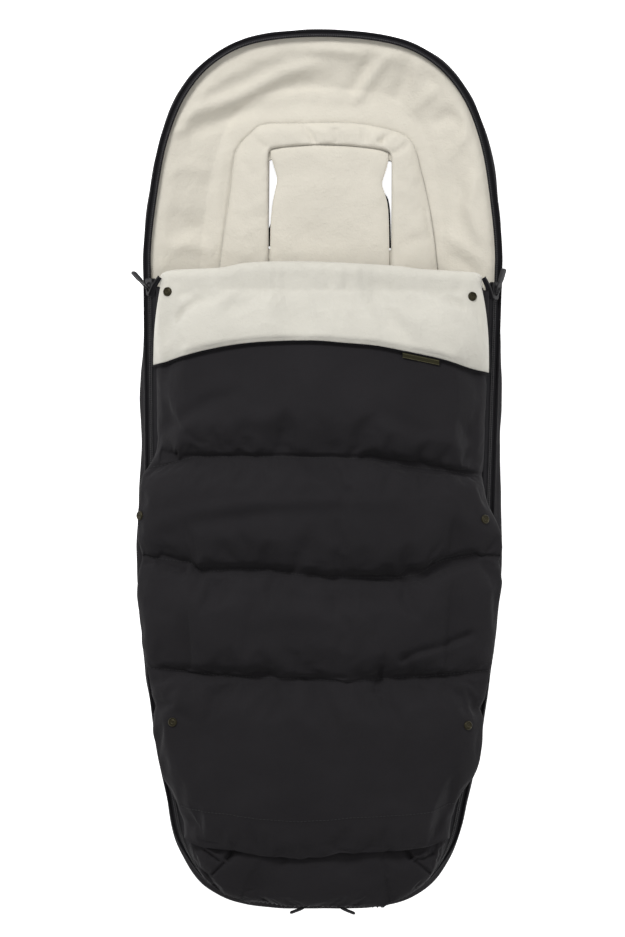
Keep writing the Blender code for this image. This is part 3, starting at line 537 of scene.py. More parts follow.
black_cloth = woven("cloth_black", (0.0191, 0.0179, 0.0197))
black_trim = woven("cloth_trim", (0.0095, 0.0090, 0.0105), thread=0.0005)
cream_fleece = fleece("fleece_cream", (0.655, 0.618, 0.535))
# Collar fleece: the lining's cream fleece made about a tenth darker as painted shade, offsetting the
# stronger light that falls on the raised collar.
shaded_collar_pile = fleece("fleece_collar_painted_shade", (0.585, 0.566, 0.505))
tape_black = ribbed_tape("tape_black", (0.0088, 0.0082, 0.0100))
teeth_black = speckled("teeth_black", (0.012, 0.011, 0.013), 0.60)
slider_black = speckled("slider_black", (0.011, 0.010, 0.012), 0.50, metallic=0.2)
pull_grey = speckled("pull_grey", (0.020, 0.019, 0.022), 0.60)
snap_brass = speckled("snap_brass", (0.034, 0.029, 0.014), 0.48, metallic=0.7)
thread_black = new_material("thread_black", (0.015, 0.0145, 0.016), 0.85)
thread_cream = new_material("thread_cream", (0.62, 0.60, 0.53), 0.8, Sheen_Weight=0.2)
label_olive = woven("label_olive", (0.034, 0.031, 0.016), thread=0.0004, sheen=0.1)
label_light = woven("label_light", (0.115, 0.106, 0.060), thread=0.0003, sheen=0.1)


# Cover surface

edge_ring = zip_ring(TAPE_WIDTH + RIM_GAP)
right_side = edge_ring[(edge_ring[:, 0] > 0.076) & (np.arange(RING_COLUMNS) < RING_COLUMNS // 2)]
TOE_END = right_side[0, 1]


def edge_x(y):
    """Half width of the cover at its zip."""
    return np.interp(y, right_side[:, 1], right_side[:, 0])


def edge_z(y):
    """Height of the cover's edge at its zip."""
    return np.interp(y, right_side[:, 1], right_side[:, 2])


# Silhouette of the filled cover in the photograph: row, leftmost and rightmost pixel
COVER_SILHOUETTE = (
    (300, 145, 502), (360, 144, 503), (420, 142, 502), (460, 142, 501), (480, 142, 501),
    (500, 140, 497), (520, 138, 500), (540, 138, 502), (552, 141, 502), (560, 142, 500),
    (580, 139, 502), (600, 138, 499), (620, 140, 496), (640, 142, 494), (660, 145, 492),
    (680, 149, 488), (696, 152, 485), (706, 156, 481), (716, 153, 484), (740, 154, 482),
    (760, 157, 479), (776, 162, 473), (790, 170, 462), (800, 175, 456), (817, 182, 450),
    (838, 189, 443),
)


def silhouette(side):
    """Rows and half widths of the photographed silhouette on one side."""
    rows = spots([(left if side < 0 else right, py) for py, left, right in COVER_SILHOUETTE])
    order = np.argsort(rows[:, 1])
    return rows[order, 1], np.abs(rows[order, 0])


def crown_height(y):
    """Height of the cover's middle: it rises from the mouth and falls to the foot."""
    share = (MOUTH_Y - y) / (MOUTH_Y - HEM_Y)
    rise = 1.0 - (1.0 - np.clip(share / 0.45, 0, 1)) ** 2
    fall = 1.0 - 0.30 * np.maximum(0.0, (share - 0.5) / 0.5) ** 2
    return MOUTH_CROWN + (CROWN - MOUTH_CROWN) * rise * fall


def squareness(y):
    """How full the cross-section is: nearly square at the mouth, round below."""
    return ROUND_POWER + 2.4 * ease((y - MOUTH_Y + 0.100) / 0.100)


def toe_fall(y):
    """Share of the crown's height that is left towards the end of the toe."""
    share = np.clip((HEM_Y - y) / (HEM_Y - TOE_END), 0, 1)
    return (1.0 - share ** 2.4) ** (1 / 2.4)


def side_swell(inward):
    """Shape of the side's swell over the share of the way in from the zip."""
    return np.sin(pi * np.minimum(inward / 0.45, 1) ** 0.72)


def bulge_size(side, y):
    """How far the side swells past the zip so that the section is as wide as the silhouette."""
    target = np.interp(y, *silhouette(side))
    shown = ease((0.030 - y) / 0.045) if side < 0 else ease(-y / 0.080)
    inward = np.linspace(0, 0.45, 24)
    swell = side_swell(inward)
    size = np.zeros_like(y)
    for k, (place, wanted) in enumerate(zip(y, target)):
        base = edge_x(place) * np.cos(inward * pi / 2) ** (2 / squareness(place))
        for _ in range(12):
            size[k] = np.clip(size[k] + (wanted - np.max(base + size[k] * swell)), 0.0, SIDE_SWELL_MOST)
    return size * (shown * ease((y + 0.425) / 0.040))


def section(u, y, crown, grow_left, grow_right):
    """Points of rounded cross-sections: u from -1 at the left edge to 1 at the right one."""
    inward = 1.0 - np.abs(u)
    angle = inward * pi / 2
    power = 2.0 / squareness(y)
    ex, ez = edge_x(y), edge_z(y)
    grow = np.where(u < 0, grow_left, grow_right)
    x = ex * np.maximum(np.cos(angle), 0) ** power + grow * side_swell(inward)
    z = ez + (crown - ez) * toe_fall(y) * np.sin(angle) ** power
    return np.stack([np.where(u < 0, -x, x), y, z], axis=-1)


# Quilt lines and hem as the photograph shows them
QUILT_LINES = (
    (188, 838, 191, 842, 202, 845, 233, 847, 260, 852, 300, 855, 345, 849, 402, 845, 430, 841, 444, 835),
    (143, 668, 164, 671, 220, 676, 300, 678, 347, 680, 402, 676, 440, 674, 488, 668),
    (138, 556, 170, 563, 183, 573, 217, 570, 258, 570, 329, 576, 408, 576, 431, 573, 457, 560, 481, 553,
     502, 555),
    (142, 469, 154, 465, 176, 458, 230, 457, 320, 457, 381, 458, 420, 465, 455, 468, 490, 473, 502, 474),
)
CHANNEL_ROWS = (44, 30, 30, 46)
# Depth of the hem, three seams and mouth; share of the channels that each draws in below and above
SEAM_DEPTH = (0.004, 0.0090, 0.0110, 0.0095, 0.003)
SEAM_REACH = ((0.16, 0.10), (0.10, 0.13), (0.10, 0.14), (0.080, 0.16))
SEAM_HANG, SIDE_SWELL_MOST, SEWN_SHARE = 0.0036, 0.036, 0.84
# Unevenness of the cloth, step down to the side panels, thickness of the hem and its stitching's place
UNEVENNESS, PANEL_STEP, HEM_LIFT = 0.0012, 0.0055, 0.0040
HEM_STITCH_Y = spot(320, 819)[1]
PANEL_LEFT = (150, 660, 157, 708, 158, 750, 164, 778, 175, 792, 181, 818, 189, 839)
PANEL_RIGHT = (490, 660, 480, 708, 479, 755, 470, 778, 461, 792, 451, 815, 443, 840)


def line_over_u(pixels, u):
    """Y of a photographed line at each u across the cover."""
    places = spots(pixels)
    middle_y = places[:, 1].mean()
    wide = max(edge_x(middle_y), np.abs(places[:, 0]).max() + 0.001)
    inward = np.clip(np.abs(places[:, 0]) / wide, 0, 1) ** (ROUND_POWER / 2)
    share = np.sign(places[:, 0]) * np.arcsin(inward) * 2 / pi
    return np.interp(u, share, places[:, 1])


def cover_grid():
    """Outer face of the quilted cover from its hem to its mouth, and each point's (u, y)."""
    u = np.linspace(-1, 1, COVER_COLUMNS)
    lines = [line_over_u(pixels, u) for pixels in QUILT_LINES]
    lines.append(np.full_like(u, MOUTH_Y))
    rows, seam, channel = [], [], []
    for k, count in enumerate(CHANNEL_ROWS):
        share = np.linspace(0, 1, count, endpoint=k == len(CHANNEL_ROWS) - 1)
        share = share - 0.5 * np.sin(2 * pi * share) / (2 * pi) * 0.6
        for s in share:
            rows.append(lines[k] + (lines[k + 1] - lines[k]) * s)
            seam.append(s == 0.0)
            channel.append((k, s))
    return u, np.array(rows), np.array(seam), channel


def side_panel_line(y, side):
    """X of the sewn edge of the lower panel, which draws in towards the hem."""
    places = spots(PANEL_LEFT if side < 0 else PANEL_RIGHT)[::-1]
    return np.abs(np.interp(y, places[:, 1], places[:, 0]))


def build_cover_face():
    """Outer face before it swells, drawn in at its seams."""
    u, y, seam, channel = cover_grid()
    uu = np.broadcast_to(u, y.shape)
    grow = [np.array([bulge_size(side, row) for row in y]) for side in (-1, 1)]
    base = section(uu, y, crown_height(y), *grow)
    drop, hang = np.zeros_like(y), np.zeros_like(y)
    for r, (k, s) in enumerate(channel):
        low, high = SEAM_REACH[k]
        drop[r] = SEAM_DEPTH[k] * np.exp(-s / low * 2.2) + SEAM_DEPTH[k + 1] * np.exp(-(1 - s) / high * 2.2)
        if k > 0:
            run = s * CHANNEL_ROWS[k] / 5.0
            hang[r] = SEAM_HANG * run * np.exp(1 - run)
    face = base - grid_normals(base) * (drop * side_share(uu))[..., None]
    face[..., 1] -= hang * side_share(uu)
    return u, y, seam, face


def side_share(uu):
    """How much of a quilt line's depth shows: all in the middle, little at the sides."""
    return 0.16 + 0.84 * ease((0.90 - np.abs(uu)) / 0.30)


def inner_face(uu, y):
    """Inner face of the cover, matching the solids."""
    padding = 0.014 + 0.006 * ease((MOUTH_Y - y) / 0.100)
    ex, ez = edge_x(y) - 0.0075, edge_z(y)
    angle = (1 - np.abs(uu)) * pi / 2
    power = 2.0 / squareness(y)
    rise = (crown_height(np.maximum(y, HEM_Y)) - padding - ez) * toe_fall(y)
    x = ex * np.maximum(np.cos(angle), 0) ** power
    z = ez + rise * np.sin(angle) ** power
    shift = 0.011 * np.clip((HEM_Y - y) / (HEM_Y - TOE_END), 0, 1)
    return np.stack([np.sign(uu) * x, y + shift, z], axis=-1)


def let_swell(grid, pinned, pressure, spare, frames, cap, bending=2.0):
    """Cloth held at its pinned points, with a share of spare cloth, swells by no more than the cap."""
    item = make_mesh("swelling", grid.reshape(-1, 3), grid_faces(*grid.shape[:2]))
    group = item.vertex_groups.new(name="pinned")
    group.add(np.nonzero(pinned.ravel())[0].tolist(), 1.0, "REPLACE")
    cloth = item.modifiers.new("Cloth", "CLOTH")
    settings = {"quality": 6, "mass": 0.3, "tension_stiffness": 12.0, "compression_stiffness": 12.0,
                "shear_stiffness": 4.0, "bending_stiffness": bending, "air_damping": 3.0,
                "use_pressure": True, "uniform_pressure_force": pressure, "shrink_min": -spare,
                "vertex_group_mass": "pinned"}
    for key, value in settings.items():
        setattr(cloth.settings, key, value)
    cloth.settings.effector_weights.gravity = 0.0
    cloth.collision_settings.use_collision = False
    cloth.point_cache.frame_start = 1
    cloth.point_cache.frame_end = frames
    scene = bpy.context.scene
    for step in range(1, frames + 1):
        scene.frame_set(step)
    settled = item.evaluated_get(bpy.context.evaluated_depsgraph_get())
    points = np.empty(grid.size, np.float32)
    settled.to_mesh().vertices.foreach_get("co", points)
    settled.to_mesh_clear()
    scene.frame_set(1)
    bpy.data.objects.remove(item, do_unlink=True)
    move = points.reshape(grid.shape).astype(float) - grid
    size = np.linalg.norm(move, axis=2)[..., None]
    return grid + move * np.minimum(1.0, cap / np.maximum(size, 1e-9))


def smoothed(grid, passes=1):
    """Grid averaged with its neighbours, its borders kept."""
    for _ in range(passes):
        inner = (grid[:-2, 1:-1] + grid[2:, 1:-1] + grid[1:-1, :-2] + grid[1:-1, 2:]) / 4
        grid = grid.copy()
        grid[1:-1, 1:-1] = 0.5 * grid[1:-1, 1:-1] + 0.5 * inner
    return grid


def finer(grid):
    """Grid with a point between each two, on smooth curves."""
    rows = rows_through(grid, np.arange(2 * len(grid) - 1) / 2)
    turned = rows_through(np.swapaxes(rows, 0, 1), np.arange(2 * grid.shape[1] - 1) / 2)
    return np.swapaxes(turned, 0, 1)


def stitches(name, points, normals, body, look=None, slot="black_cloth", size=0.0004):
    """Row of sewn stitches lying on a path of points and normals."""
    length, gap, lift = 0.0030, 0.0012, 0.0003
    marks, centres, along = marks_along(points, length + gap, length / 2)
    up = unit(sample(normals, marks, points))
    side = unit(np.cross(up, along))
    item = small_boxes(name, centres + up * lift, along, side, (length, 2 * size, 1.4 * size), size * 0.6)
    return dress(item, look or thread_black, body, slot)


def pinned_borders(shape):
    """Marks of the grid points that the cloth is held at: the two ends and two columns a side."""
    pinned = np.zeros(shape, bool)
    pinned[[0, -1]] = True
    pinned[:, [0, 1, -2, -1]] = True
    return pinned


def build_cover():
    """Quilted cover with its fleece and stitching; gives its outer face and that face's normals."""
    u, y, seam, face = build_cover_face()
    pinned = pinned_borders(y.shape) | (seam[:, None] & (np.abs(u) < 0.86)[None])
    uneven = UNEVENNESS * ripple(face[..., :2], 26.0, 3.7)
    face = face + grid_normals(face) * (uneven * ~pinned)[..., None]
    swollen = let_swell(face, pinned, pressure=2.6, spare=0.050, frames=24, cap=0.010, bending=0.6)
    loose = 0.30 + 0.70 * ease((SEWN_SHARE - np.abs(u)) / 0.16)
    swollen = smoothed(face + (swollen - face) * loose[None, :, None], 1)
    points = swollen[..., :2]
    for side in (-1, 1):
        panel = side_panel_line(points[..., 1], side)
        outside = ease((np.abs(points[..., 0]) - panel) / 0.004) * (np.sign(points[..., 0]) == side)
        swollen[..., 2] -= PANEL_STEP * outside * ease((-0.345 - points[..., 1]) / 0.020)
    swollen[..., 2] += folds(points, COVER_FOLDS)
    hem_lift = HEM_LIFT * np.exp(-np.arange(len(y)) / 3.0)[:, None]
    swollen = swollen + grid_normals(swollen) * hem_lift[..., None] * (np.abs(u) < 0.97)[None, :, None]
    top = finer(swollen)
    top[..., 2] -= creases(top[..., :2], COVER_CREASES)
    across = np.linspace(-1, 1, top.shape[1])
    inside = inner_face(np.broadcast_to(across, top.shape[:2]), finer(y[..., None])[..., 0])
    normal = grid_normals(inside)
    under = inside + normal * CLOTH_STANDS
    least = under[..., 2] + CLOTH_STANDS / 2
    top[..., 2] = np.where(normal[..., 2] > 0.3, np.maximum(top[..., 2], least), top[..., 2])
    top_normal = grid_normals(top)
    quilt = body_between("cover_quilt", top, under)
    fleece_in = body_between("cover_inner_fleece", inside + normal * FLEECE_THICKNESS, inside)
    dress(quilt, black_cloth, None, "black_cloth", "cover_shell", "cover_wadding", "lower_cover_shell",
          "lower_cover_wadding", "lower_cover_hem")
    dress(fleece_in, cream_fleece, None, "cream_fleece", "cover_lining", "lower_cover_lining")
    bend(quilt)
    bend(fleece_in)
    middle = np.abs(across) < SEWN_SHARE
    for number, row in enumerate(2 * np.nonzero(seam)[0][1:], start=1):
        bend(stitches("quilt_stitching_%d" % number, top[row][middle], top_normal[row][middle], None))
    row = np.argmin(np.abs(top[:, top.shape[1] // 2, 1] - HEM_STITCH_Y))
    stitches("hem_stitching", top[row][middle], top_normal[row][middle], "root")
    return top, top_normal


COVER_FOLDS = (
    (-2.6, 6, 150, 462, 158, 440, 170, 418),
    (-3.4, 8.5, 164, 444, 182, 420, 212, 402, 246, 394),
    (-1.6, 10, 238, 428, 270, 434, 300, 430),
    (-3, 10, 366, 402, 398, 420, 432, 438),
    (1.6, 14, 205, 445, 250, 420, 300, 408),
    (1.6, 9, 395, 450, 440, 440, 478, 452),
    (2.2, 7, 150, 526, 196, 512, 260, 503, 340, 500, 400, 503),
    (-2.2, 8, 150, 538, 200, 524, 270, 514, 350, 512),
    (-2.2, 8, 146, 545, 166, 536, 190, 540),
    (1.6, 10, 430, 500, 462, 520, 488, 530),
    (-2, 11, 170, 602, 240, 594, 330, 600, 420, 596),
    (1.4, 11, 230, 622, 300, 616, 380, 618),
    (3, 8, 398, 668, 412, 656, 440, 646, 474, 632),
    (-2, 8, 146, 600, 160, 612, 176, 616),
    (1, 14, 300, 700, 322, 730, 330, 760),
    (-2.2, 6, 160, 706, 176, 712, 196, 722),
    (1.4, 10, 380, 800, 410, 815, 438, 822),
)
COVER_CREASES = (
    (11, 5.8, 160, 457, 168, 458, 180, 457),
    (3.4, 2, 176, 457, 250, 456, 330, 456, 380, 457),
    (10, 6.2, 356, 455, 384, 459, 402, 464, 420, 466, 446, 470),
    (7, 4.6, 394, 459, 410, 463, 426, 467, 452, 471, 474, 472),
    (3.6, 2.2, 384, 462, 396, 468, 410, 470),
    (3.4, 2, 438, 469, 455, 470, 478, 471, 490, 472),
    (4, 2, 143, 556, 152, 558, 160, 560),
    (11, 5.6, 157, 559, 166, 562, 175, 566, 188, 573),
    (5.6, 3, 166, 558, 176, 563, 188, 569),
    (6, 4.4, 188, 572, 215, 568, 250, 569, 300, 571),
    (2.4, 2, 210, 573, 260, 574, 310, 577),
    (6.4, 5, 300, 572, 330, 577, 365, 577, 400, 578),
    (5, 3.6, 352, 574, 380, 577, 404, 575, 428, 573),
    (12, 6, 396, 578, 412, 574, 428, 571, 444, 564, 462, 558, 480, 553),
    (5, 2.8, 402, 568, 420, 566, 436, 562),
    (4, 2.2, 416, 580, 424, 573, 430, 566),
    (3, 1.6, 478, 554, 490, 553, 501, 553),
    (5.2, 4.6, 156, 668, 200, 670, 240, 672, 284, 674),
    (2.4, 2.2, 180, 674, 230, 676, 270, 677),
    (4, 3, 284, 674, 310, 677, 350, 676),
    (4.6, 4.4, 350, 676, 380, 674, 420, 672, 452, 671),
    (2.6, 2.6, 297, 650, 299, 662, 296, 676),
    (6.4, 4.4, 379, 662, 378, 678, 374, 694),
    (6.8, 4.8, 397, 663, 404, 655, 420, 649, 448, 641, 476, 629),
)


def build_toe():
    """Toe box below the hem, with its corner darts."""
    near, far = HEM_Y + 0.012, HEM_Y - 0.045
    stations = np.r_[np.linspace(near, far, 26, endpoint=False),
                     TOE_END + (far - TOE_END) * (1 - np.linspace(0, 1, 26)) ** 1.6]
    y = np.broadcast_to(stations[::-1][:, None], (len(stations), COVER_COLUMNS))
    uu = np.broadcast_to(np.linspace(-1, 1, COVER_COLUMNS), y.shape)
    tucked = 0.004 * ease((y - HEM_Y + 0.004) / 0.012)
    crown = crown_height(np.maximum(y, HEM_Y)) - tucked - 0.0105
    face = lean_out(section(uu, y, crown, 0.0, 0.0), edge_ring, TOE_OVERHANG)
    pinned = pinned_borders(y.shape)
    top = finer(let_swell(face, pinned, pressure=2.0, spare=0.015, frames=14, cap=0.005))
    points = top[..., :2]
    top[..., 2] += folds(points, TOE_FOLDS) - creases(points, TOE_CREASES)
    inside = inner_face(uu, y)
    normal = grid_normals(inside)
    toe = body_between("toe_panel", top, finer(inside + normal * CLOTH_STANDS))
    lining = body_between("toe_inner_fleece", finer(inside + normal * FLEECE_THICKNESS), finer(inside))
    dress(toe, black_cloth, "root", "black_cloth", "toe_shell", "toe_wadding")
    dress(lining, cream_fleece, "root", "cream_fleece", "toe_lining")


def lean_out(grid, edge, amounts, reach=0.055):
    """Grid swelling out over its edge line by an amount that follows the pixel across."""
    flat = edge[:, :2]
    outward = loop_normals(flat)
    places = spots([(px, MIDDLE_PIXEL[1]) for px, _ in amounts])[:, 0]
    points = grid[..., :2].reshape(-1, 2)
    away = np.linalg.norm(points[:, None] - flat[None], axis=2)
    nearest = np.argmin(away, axis=1)
    share = np.clip(away[np.arange(len(points)), nearest] / reach, 0, 1) ** 0.5
    amount = np.interp(points[:, 0], places, [size for _, size in amounts])
    push = amount * ease((-0.425 - points[:, 1]) / 0.030) * np.sin(pi * share)
    result = grid.copy()
    result[..., :2] += (outward[nearest] * push[:, None]).reshape(grid.shape[:2] + (2,))
    return result


# How far the toe swells over its zip: pixel across and metres
TOE_OVERHANG = ((190, 0.0), (215, 0.003), (232, 0.007), (250, 0.006), (262, 0.003), (276, 0.007),
                (290, 0.0115), (385, 0.0115), (402, 0.008), (425, 0.003), (445, 0.0))
TOE_FOLDS = (
    (2.4, 7, 190, 850, 202, 858, 214, 866),
    (2.6, 2.2, 204, 846, 213, 853, 222, 859),
    (2.4, 7, 434, 852, 440, 860, 444, 868),
    (2.6, 2.4, 410, 851, 418, 855, 430, 848),
    (2.4, 6, 238, 898, 258, 894, 278, 900),
    (-2, 12, 335, 862, 370, 872, 395, 868),
)
TOE_CREASES = (
    (3, 1.6, 203, 849, 212, 856, 221, 862),
    (7, 3, 232, 845, 230, 854, 226, 861),
    (4, 1.8, 226, 861, 219, 868, 211, 876),
    (4, 2, 190, 862, 200, 868, 209, 877, 217, 887, 223, 893),
    (7, 3, 403, 844, 408, 852, 412, 857),
    (4, 1.8, 412, 857, 421, 864, 431, 872),
    (3, 1.6, 414, 857, 424, 856, 434, 850),
    (4, 2, 447, 858, 436, 871, 424, 884, 412, 895),
    (3.4, 2.2, 262, 897, 272, 903, 279, 908),
)


# Padded back

def window_ring(z):
    """The window's edge, one point for each column of the ring."""
    centre = np.array([WINDOW_X + 0.0018, (WINDOW_LOW + WINDOW_HIGH) / 2])
    half = np.array([WINDOW_HALF + 0.0008, (WINDOW_HIGH - WINDOW_LOW) / 2])
    away = outline - centre
    scale = np.min(half / np.maximum(np.abs(away), 1e-9), axis=1)
    return raised(centre + away * scale[:, None], z)


BACK_FOLDS = (
    (7, 8.5, 166, 128, 196, 112, 236, 98, 262, 84, 288, 71, 318, 64, 334, 66),
    (-4.4, 8.5, 170, 140, 206, 127, 243, 113, 262, 103),
    (3, 8.5, 196, 96, 228, 78, 258, 62, 282, 54),
    (-3.4, 8.5, 262, 92, 300, 82, 338, 82),
    (3.4, 7.5, 300, 50, 334, 48, 366, 54),
    (5.6, 6, 352, 104, 366, 84, 382, 62, 394, 50),
    (-4.6, 6, 352, 92, 364, 68, 376, 52),
    (-3.6, 8, 396, 100, 406, 74, 404, 54),
    (4, 8.5, 408, 112, 430, 92, 446, 84),
    (-3.6, 7, 420, 62, 432, 78, 446, 96),
    (-4.4, 8, 432, 122, 450, 114, 470, 128),
    (4.4, 7, 452, 154, 466, 132, 464, 106),
    (4.2, 7, 478, 170, 468, 205, 480, 240),
    (-2.8, 8, 450, 160, 460, 190, 456, 226),
    (4.4, 6, 158, 142, 172, 133, 190, 130),
    (2.8, 8.5, 162, 176, 188, 168, 214, 174),
    (-2.6, 10, 160, 215, 184, 222, 206, 240),
    (3.2, 8.5, 440, 228, 462, 244, 484, 262),
    (-3, 8, 448, 250, 466, 262, 486, 286),
    (3.2, 8, 166, 252, 190, 245, 214, 253),
    (-2.2, 8, 164, 236, 184, 232, 206, 224),
    (-2.2, 10, 245, 110, 300, 104, 370, 108),
    (-2, 7, 232, 150, 226, 190, 222, 230),
)
ARCH_OUTER = (
    216, 300, 219, 268, 223, 237, 230, 190, 233, 162, 238, 146, 251, 132, 264, 123.5, 303, 122, 342, 121,
    368, 123, 395, 129, 408, 135, 415.5, 146, 421, 167, 429, 201, 434, 232, 438, 268, 440, 300)
ARCH_INNER = (
    268.5, 300, 268.5, 240, 268.5, 180, 268.2, 158, 270, 150, 276, 147.5, 298, 145, 324, 143.5, 350,
    144.5, 376, 147, 386, 149, 391, 153, 391.8, 162, 391.6, 200, 391.6, 250, 391.6, 300)
PILE_THICKNESS, PUCKERS, PUCKER_DEPTH = 0.0018, 62, 0.0007


def fleece_surface():
    """Inner face of the back: rim, slope, floor and window edge."""
    rim = rim_ring(0.0022, 0.0008)
    floor = ring(0.066, FLOOR_TOP)
    near = rows_through([rim, zip_inset_ring(0.0125, 0.0405), zip_inset_ring(0.030, 0.0325), floor],
                        np.linspace(0, 3, 22))
    share = np.linspace(0, 1, 44)[1:, None, None]
    return np.concatenate([near, floor[None] + (window_ring(FLOOR_TOP)[None] - floor[None]) * share])


def rim_ring(inset=0.0, drop=0.0):
    """Line along the outer edge of the back's zip tape."""
    return zip_ring(-TAPE_WIDTH - RIM_GAP) - raised(zip_normal * inset, drop)


def build_back():
    """Fleece inside of the back and its black outside."""
    face = fleece_surface()
    points = face[..., :2]
    count = np.arange(len(face))
    edge_fade = ease(count / 9.0)[:, None] * ease((len(face) - 1 - count) / 3.0)[:, None]
    lift = folds(points, BACK_FOLDS)
    lift += 0.0012 * ripple(points, 16.0, 8.1) + 0.0006 * ripple(points, 42.0, 2.3)
    away, _ = line_distance(points, even(spots(ARCH_OUTER), 60))
    lift -= 0.0016 * np.exp(-away / 0.004)
    face[..., 2] += lift * edge_fade * ease((points[..., 1] - 0.12) / 0.05)
    turns = np.arange(RING_COLUMNS) / RING_COLUMNS
    pucker = PUCKER_DEPTH * np.sin(turns * 2 * pi * PUCKERS) * ripple(outline, 9.0, 5.0)
    face[2:14, :, 2] += pucker * np.sin(np.linspace(0, pi, 12))[:, None]
    pile = body_between("back_fleece", face[::-1], face[::-1] - UP * PILE_THICKNESS, closed_columns=True)
    dress(pile, cream_fleece, "root", "cream_fleece", "back_lining")

    rim, side = rim_ring(), ring(0, SIDE_HEIGHT)
    outer = rows_through([window_ring(0.0004), ring(0.062, 0.0004), ring(0.034, 0.0004),
                          ring(0.010, 0.0050), side, 0.4 * side + 0.6 * rim + UP * 0.001, rim],
                         np.r_[0, 0.5, 1, 1.5, np.linspace(2, 6, 30)])
    outer[..., 2] = np.maximum(outer[..., 2], 0.0003)
    swell = 0.0014 * ripple(outer, 18.0, 4.4)
    swell *= ease((outer[..., 2] - 0.006) / 0.012) * ease((ZIP_HEIGHT - 0.012 - outer[..., 2]) / 0.008)
    outer = outer + raised(outline_normal, 0.0)[None] * swell[..., None]
    inner = smoothed(face, 6)[::4] - UP * 0.0040
    inner[0] = rim_ring(0.0010, 0.0014)
    loop = np.concatenate([outer, inner, window_ring(FLOOR_TOP - 0.0024)[None]])
    faces = grid_faces(len(loop), RING_COLUMNS, closed_rows=True, closed_columns=True)
    shell = make_mesh("back_outside", loop.reshape(-1, 3), faces)
    dress(shell, black_cloth, "root", "black_cloth", "back_shell", "back_wadding")


def build_arch():
    """Padded arch between its sewn edge and the harness window."""
    count, across, height = 150, 26, 0.0072
    outer, inner = (even(through(spots(line), 400), count) for line in (ARCH_OUTER, ARCH_INNER))
    mark = np.linspace(0, 1, across)
    share = mark - 0.70 * np.sin(2 * pi * mark) / (2 * pi)
    flat = outer[:, None] + (inner - outer)[:, None] * share[None, :, None]
    puff = np.where(share < 0.5, (1 - np.abs(2 * share - 1) ** 2.4) ** 0.6,
                    (1 - np.abs(2 * share - 1) ** 9) ** 0.5)
    relief_height = height + 0.0011 * ripple(flat, 34.0, 6.0) + folds(flat, ARCH_FOLDS)
    rise = (relief_height - creases(flat, ARCH_CREASES)) * puff[None]
    end = ease(np.minimum(np.arange(count), count - 1 - np.arange(count)) / 4.0)[:, None]
    top = raised(flat, FLOOR_TOP + 0.0006 + rise * end)
    pad = body_between("arch_padding", top, raised(flat, FLOOR_TOP + 0.0002))
    dress(pad, cream_fleece, "root", "cream_fleece", "arch_pad")
    stitches("arch_stitching", top[:, 1] + UP * 0.0002, np.tile(UP, (count, 1)), "root", thread_cream,
             "cream_fleece", size=0.00030)


ARCH_FOLDS = (
    (1.4, 10, 252, 150, 254, 190, 250, 240),
    (1.4, 10, 404, 150, 410, 200, 414, 250),
    (2, 4.5, 318, 126, 326, 134, 332, 142),
    (1.6, 5, 286, 126, 292, 134, 298, 142),
    (1.8, 4.5, 372, 128, 374, 136, 372, 144),
    (-1.4, 6, 240, 160, 250, 172, 262, 176),
    (-1.6, 6, 398, 176, 410, 184, 424, 182),
    (-1.2, 7, 232, 214, 246, 220, 262, 216),
    (-1.4, 7, 400, 246, 414, 238, 430, 240),
)
ARCH_CREASES = (
    (4.4, 2.4, 302, 123, 309, 132, 316, 144),
    (3, 2, 335, 126, 338, 134, 337, 143),
    (4.4, 2.4, 394, 127, 388, 134, 379, 142),
    (2.2, 2, 361, 126, 364, 134, 366, 142),
    (2, 1.8, 382, 125, 384, 134, 380, 143),
    (3, 2.2, 410, 140, 400, 148, 391, 152),
    (2.6, 2.2, 250, 134, 258, 142, 268, 148),
    (2.4, 2.2, 425, 205, 430, 228, 432, 240),
)


# Harness flap

FLAP_LEFT = (
    269.9, 300, 269.9, 262, 270.3, 226, 272, 205, 274.8, 190, 276.8, 179, 274, 167, 271, 157, 270.2,
    150.5)
FLAP_RIGHT = (
    389.8, 300, 389.6, 262, 389.2, 225, 388.2, 205, 385.6, 193, 382.6, 184, 383.2, 178, 386.5, 168,
    388.6, 159, 388.4, 152.5)
FLAP_TOP = (
    270.2, 149.6, 283, 146.8, 298, 145.2, 318, 143.9, 324, 144.2, 330, 143.9, 350, 144.8, 376, 147.4,
    388.4, 151.6)


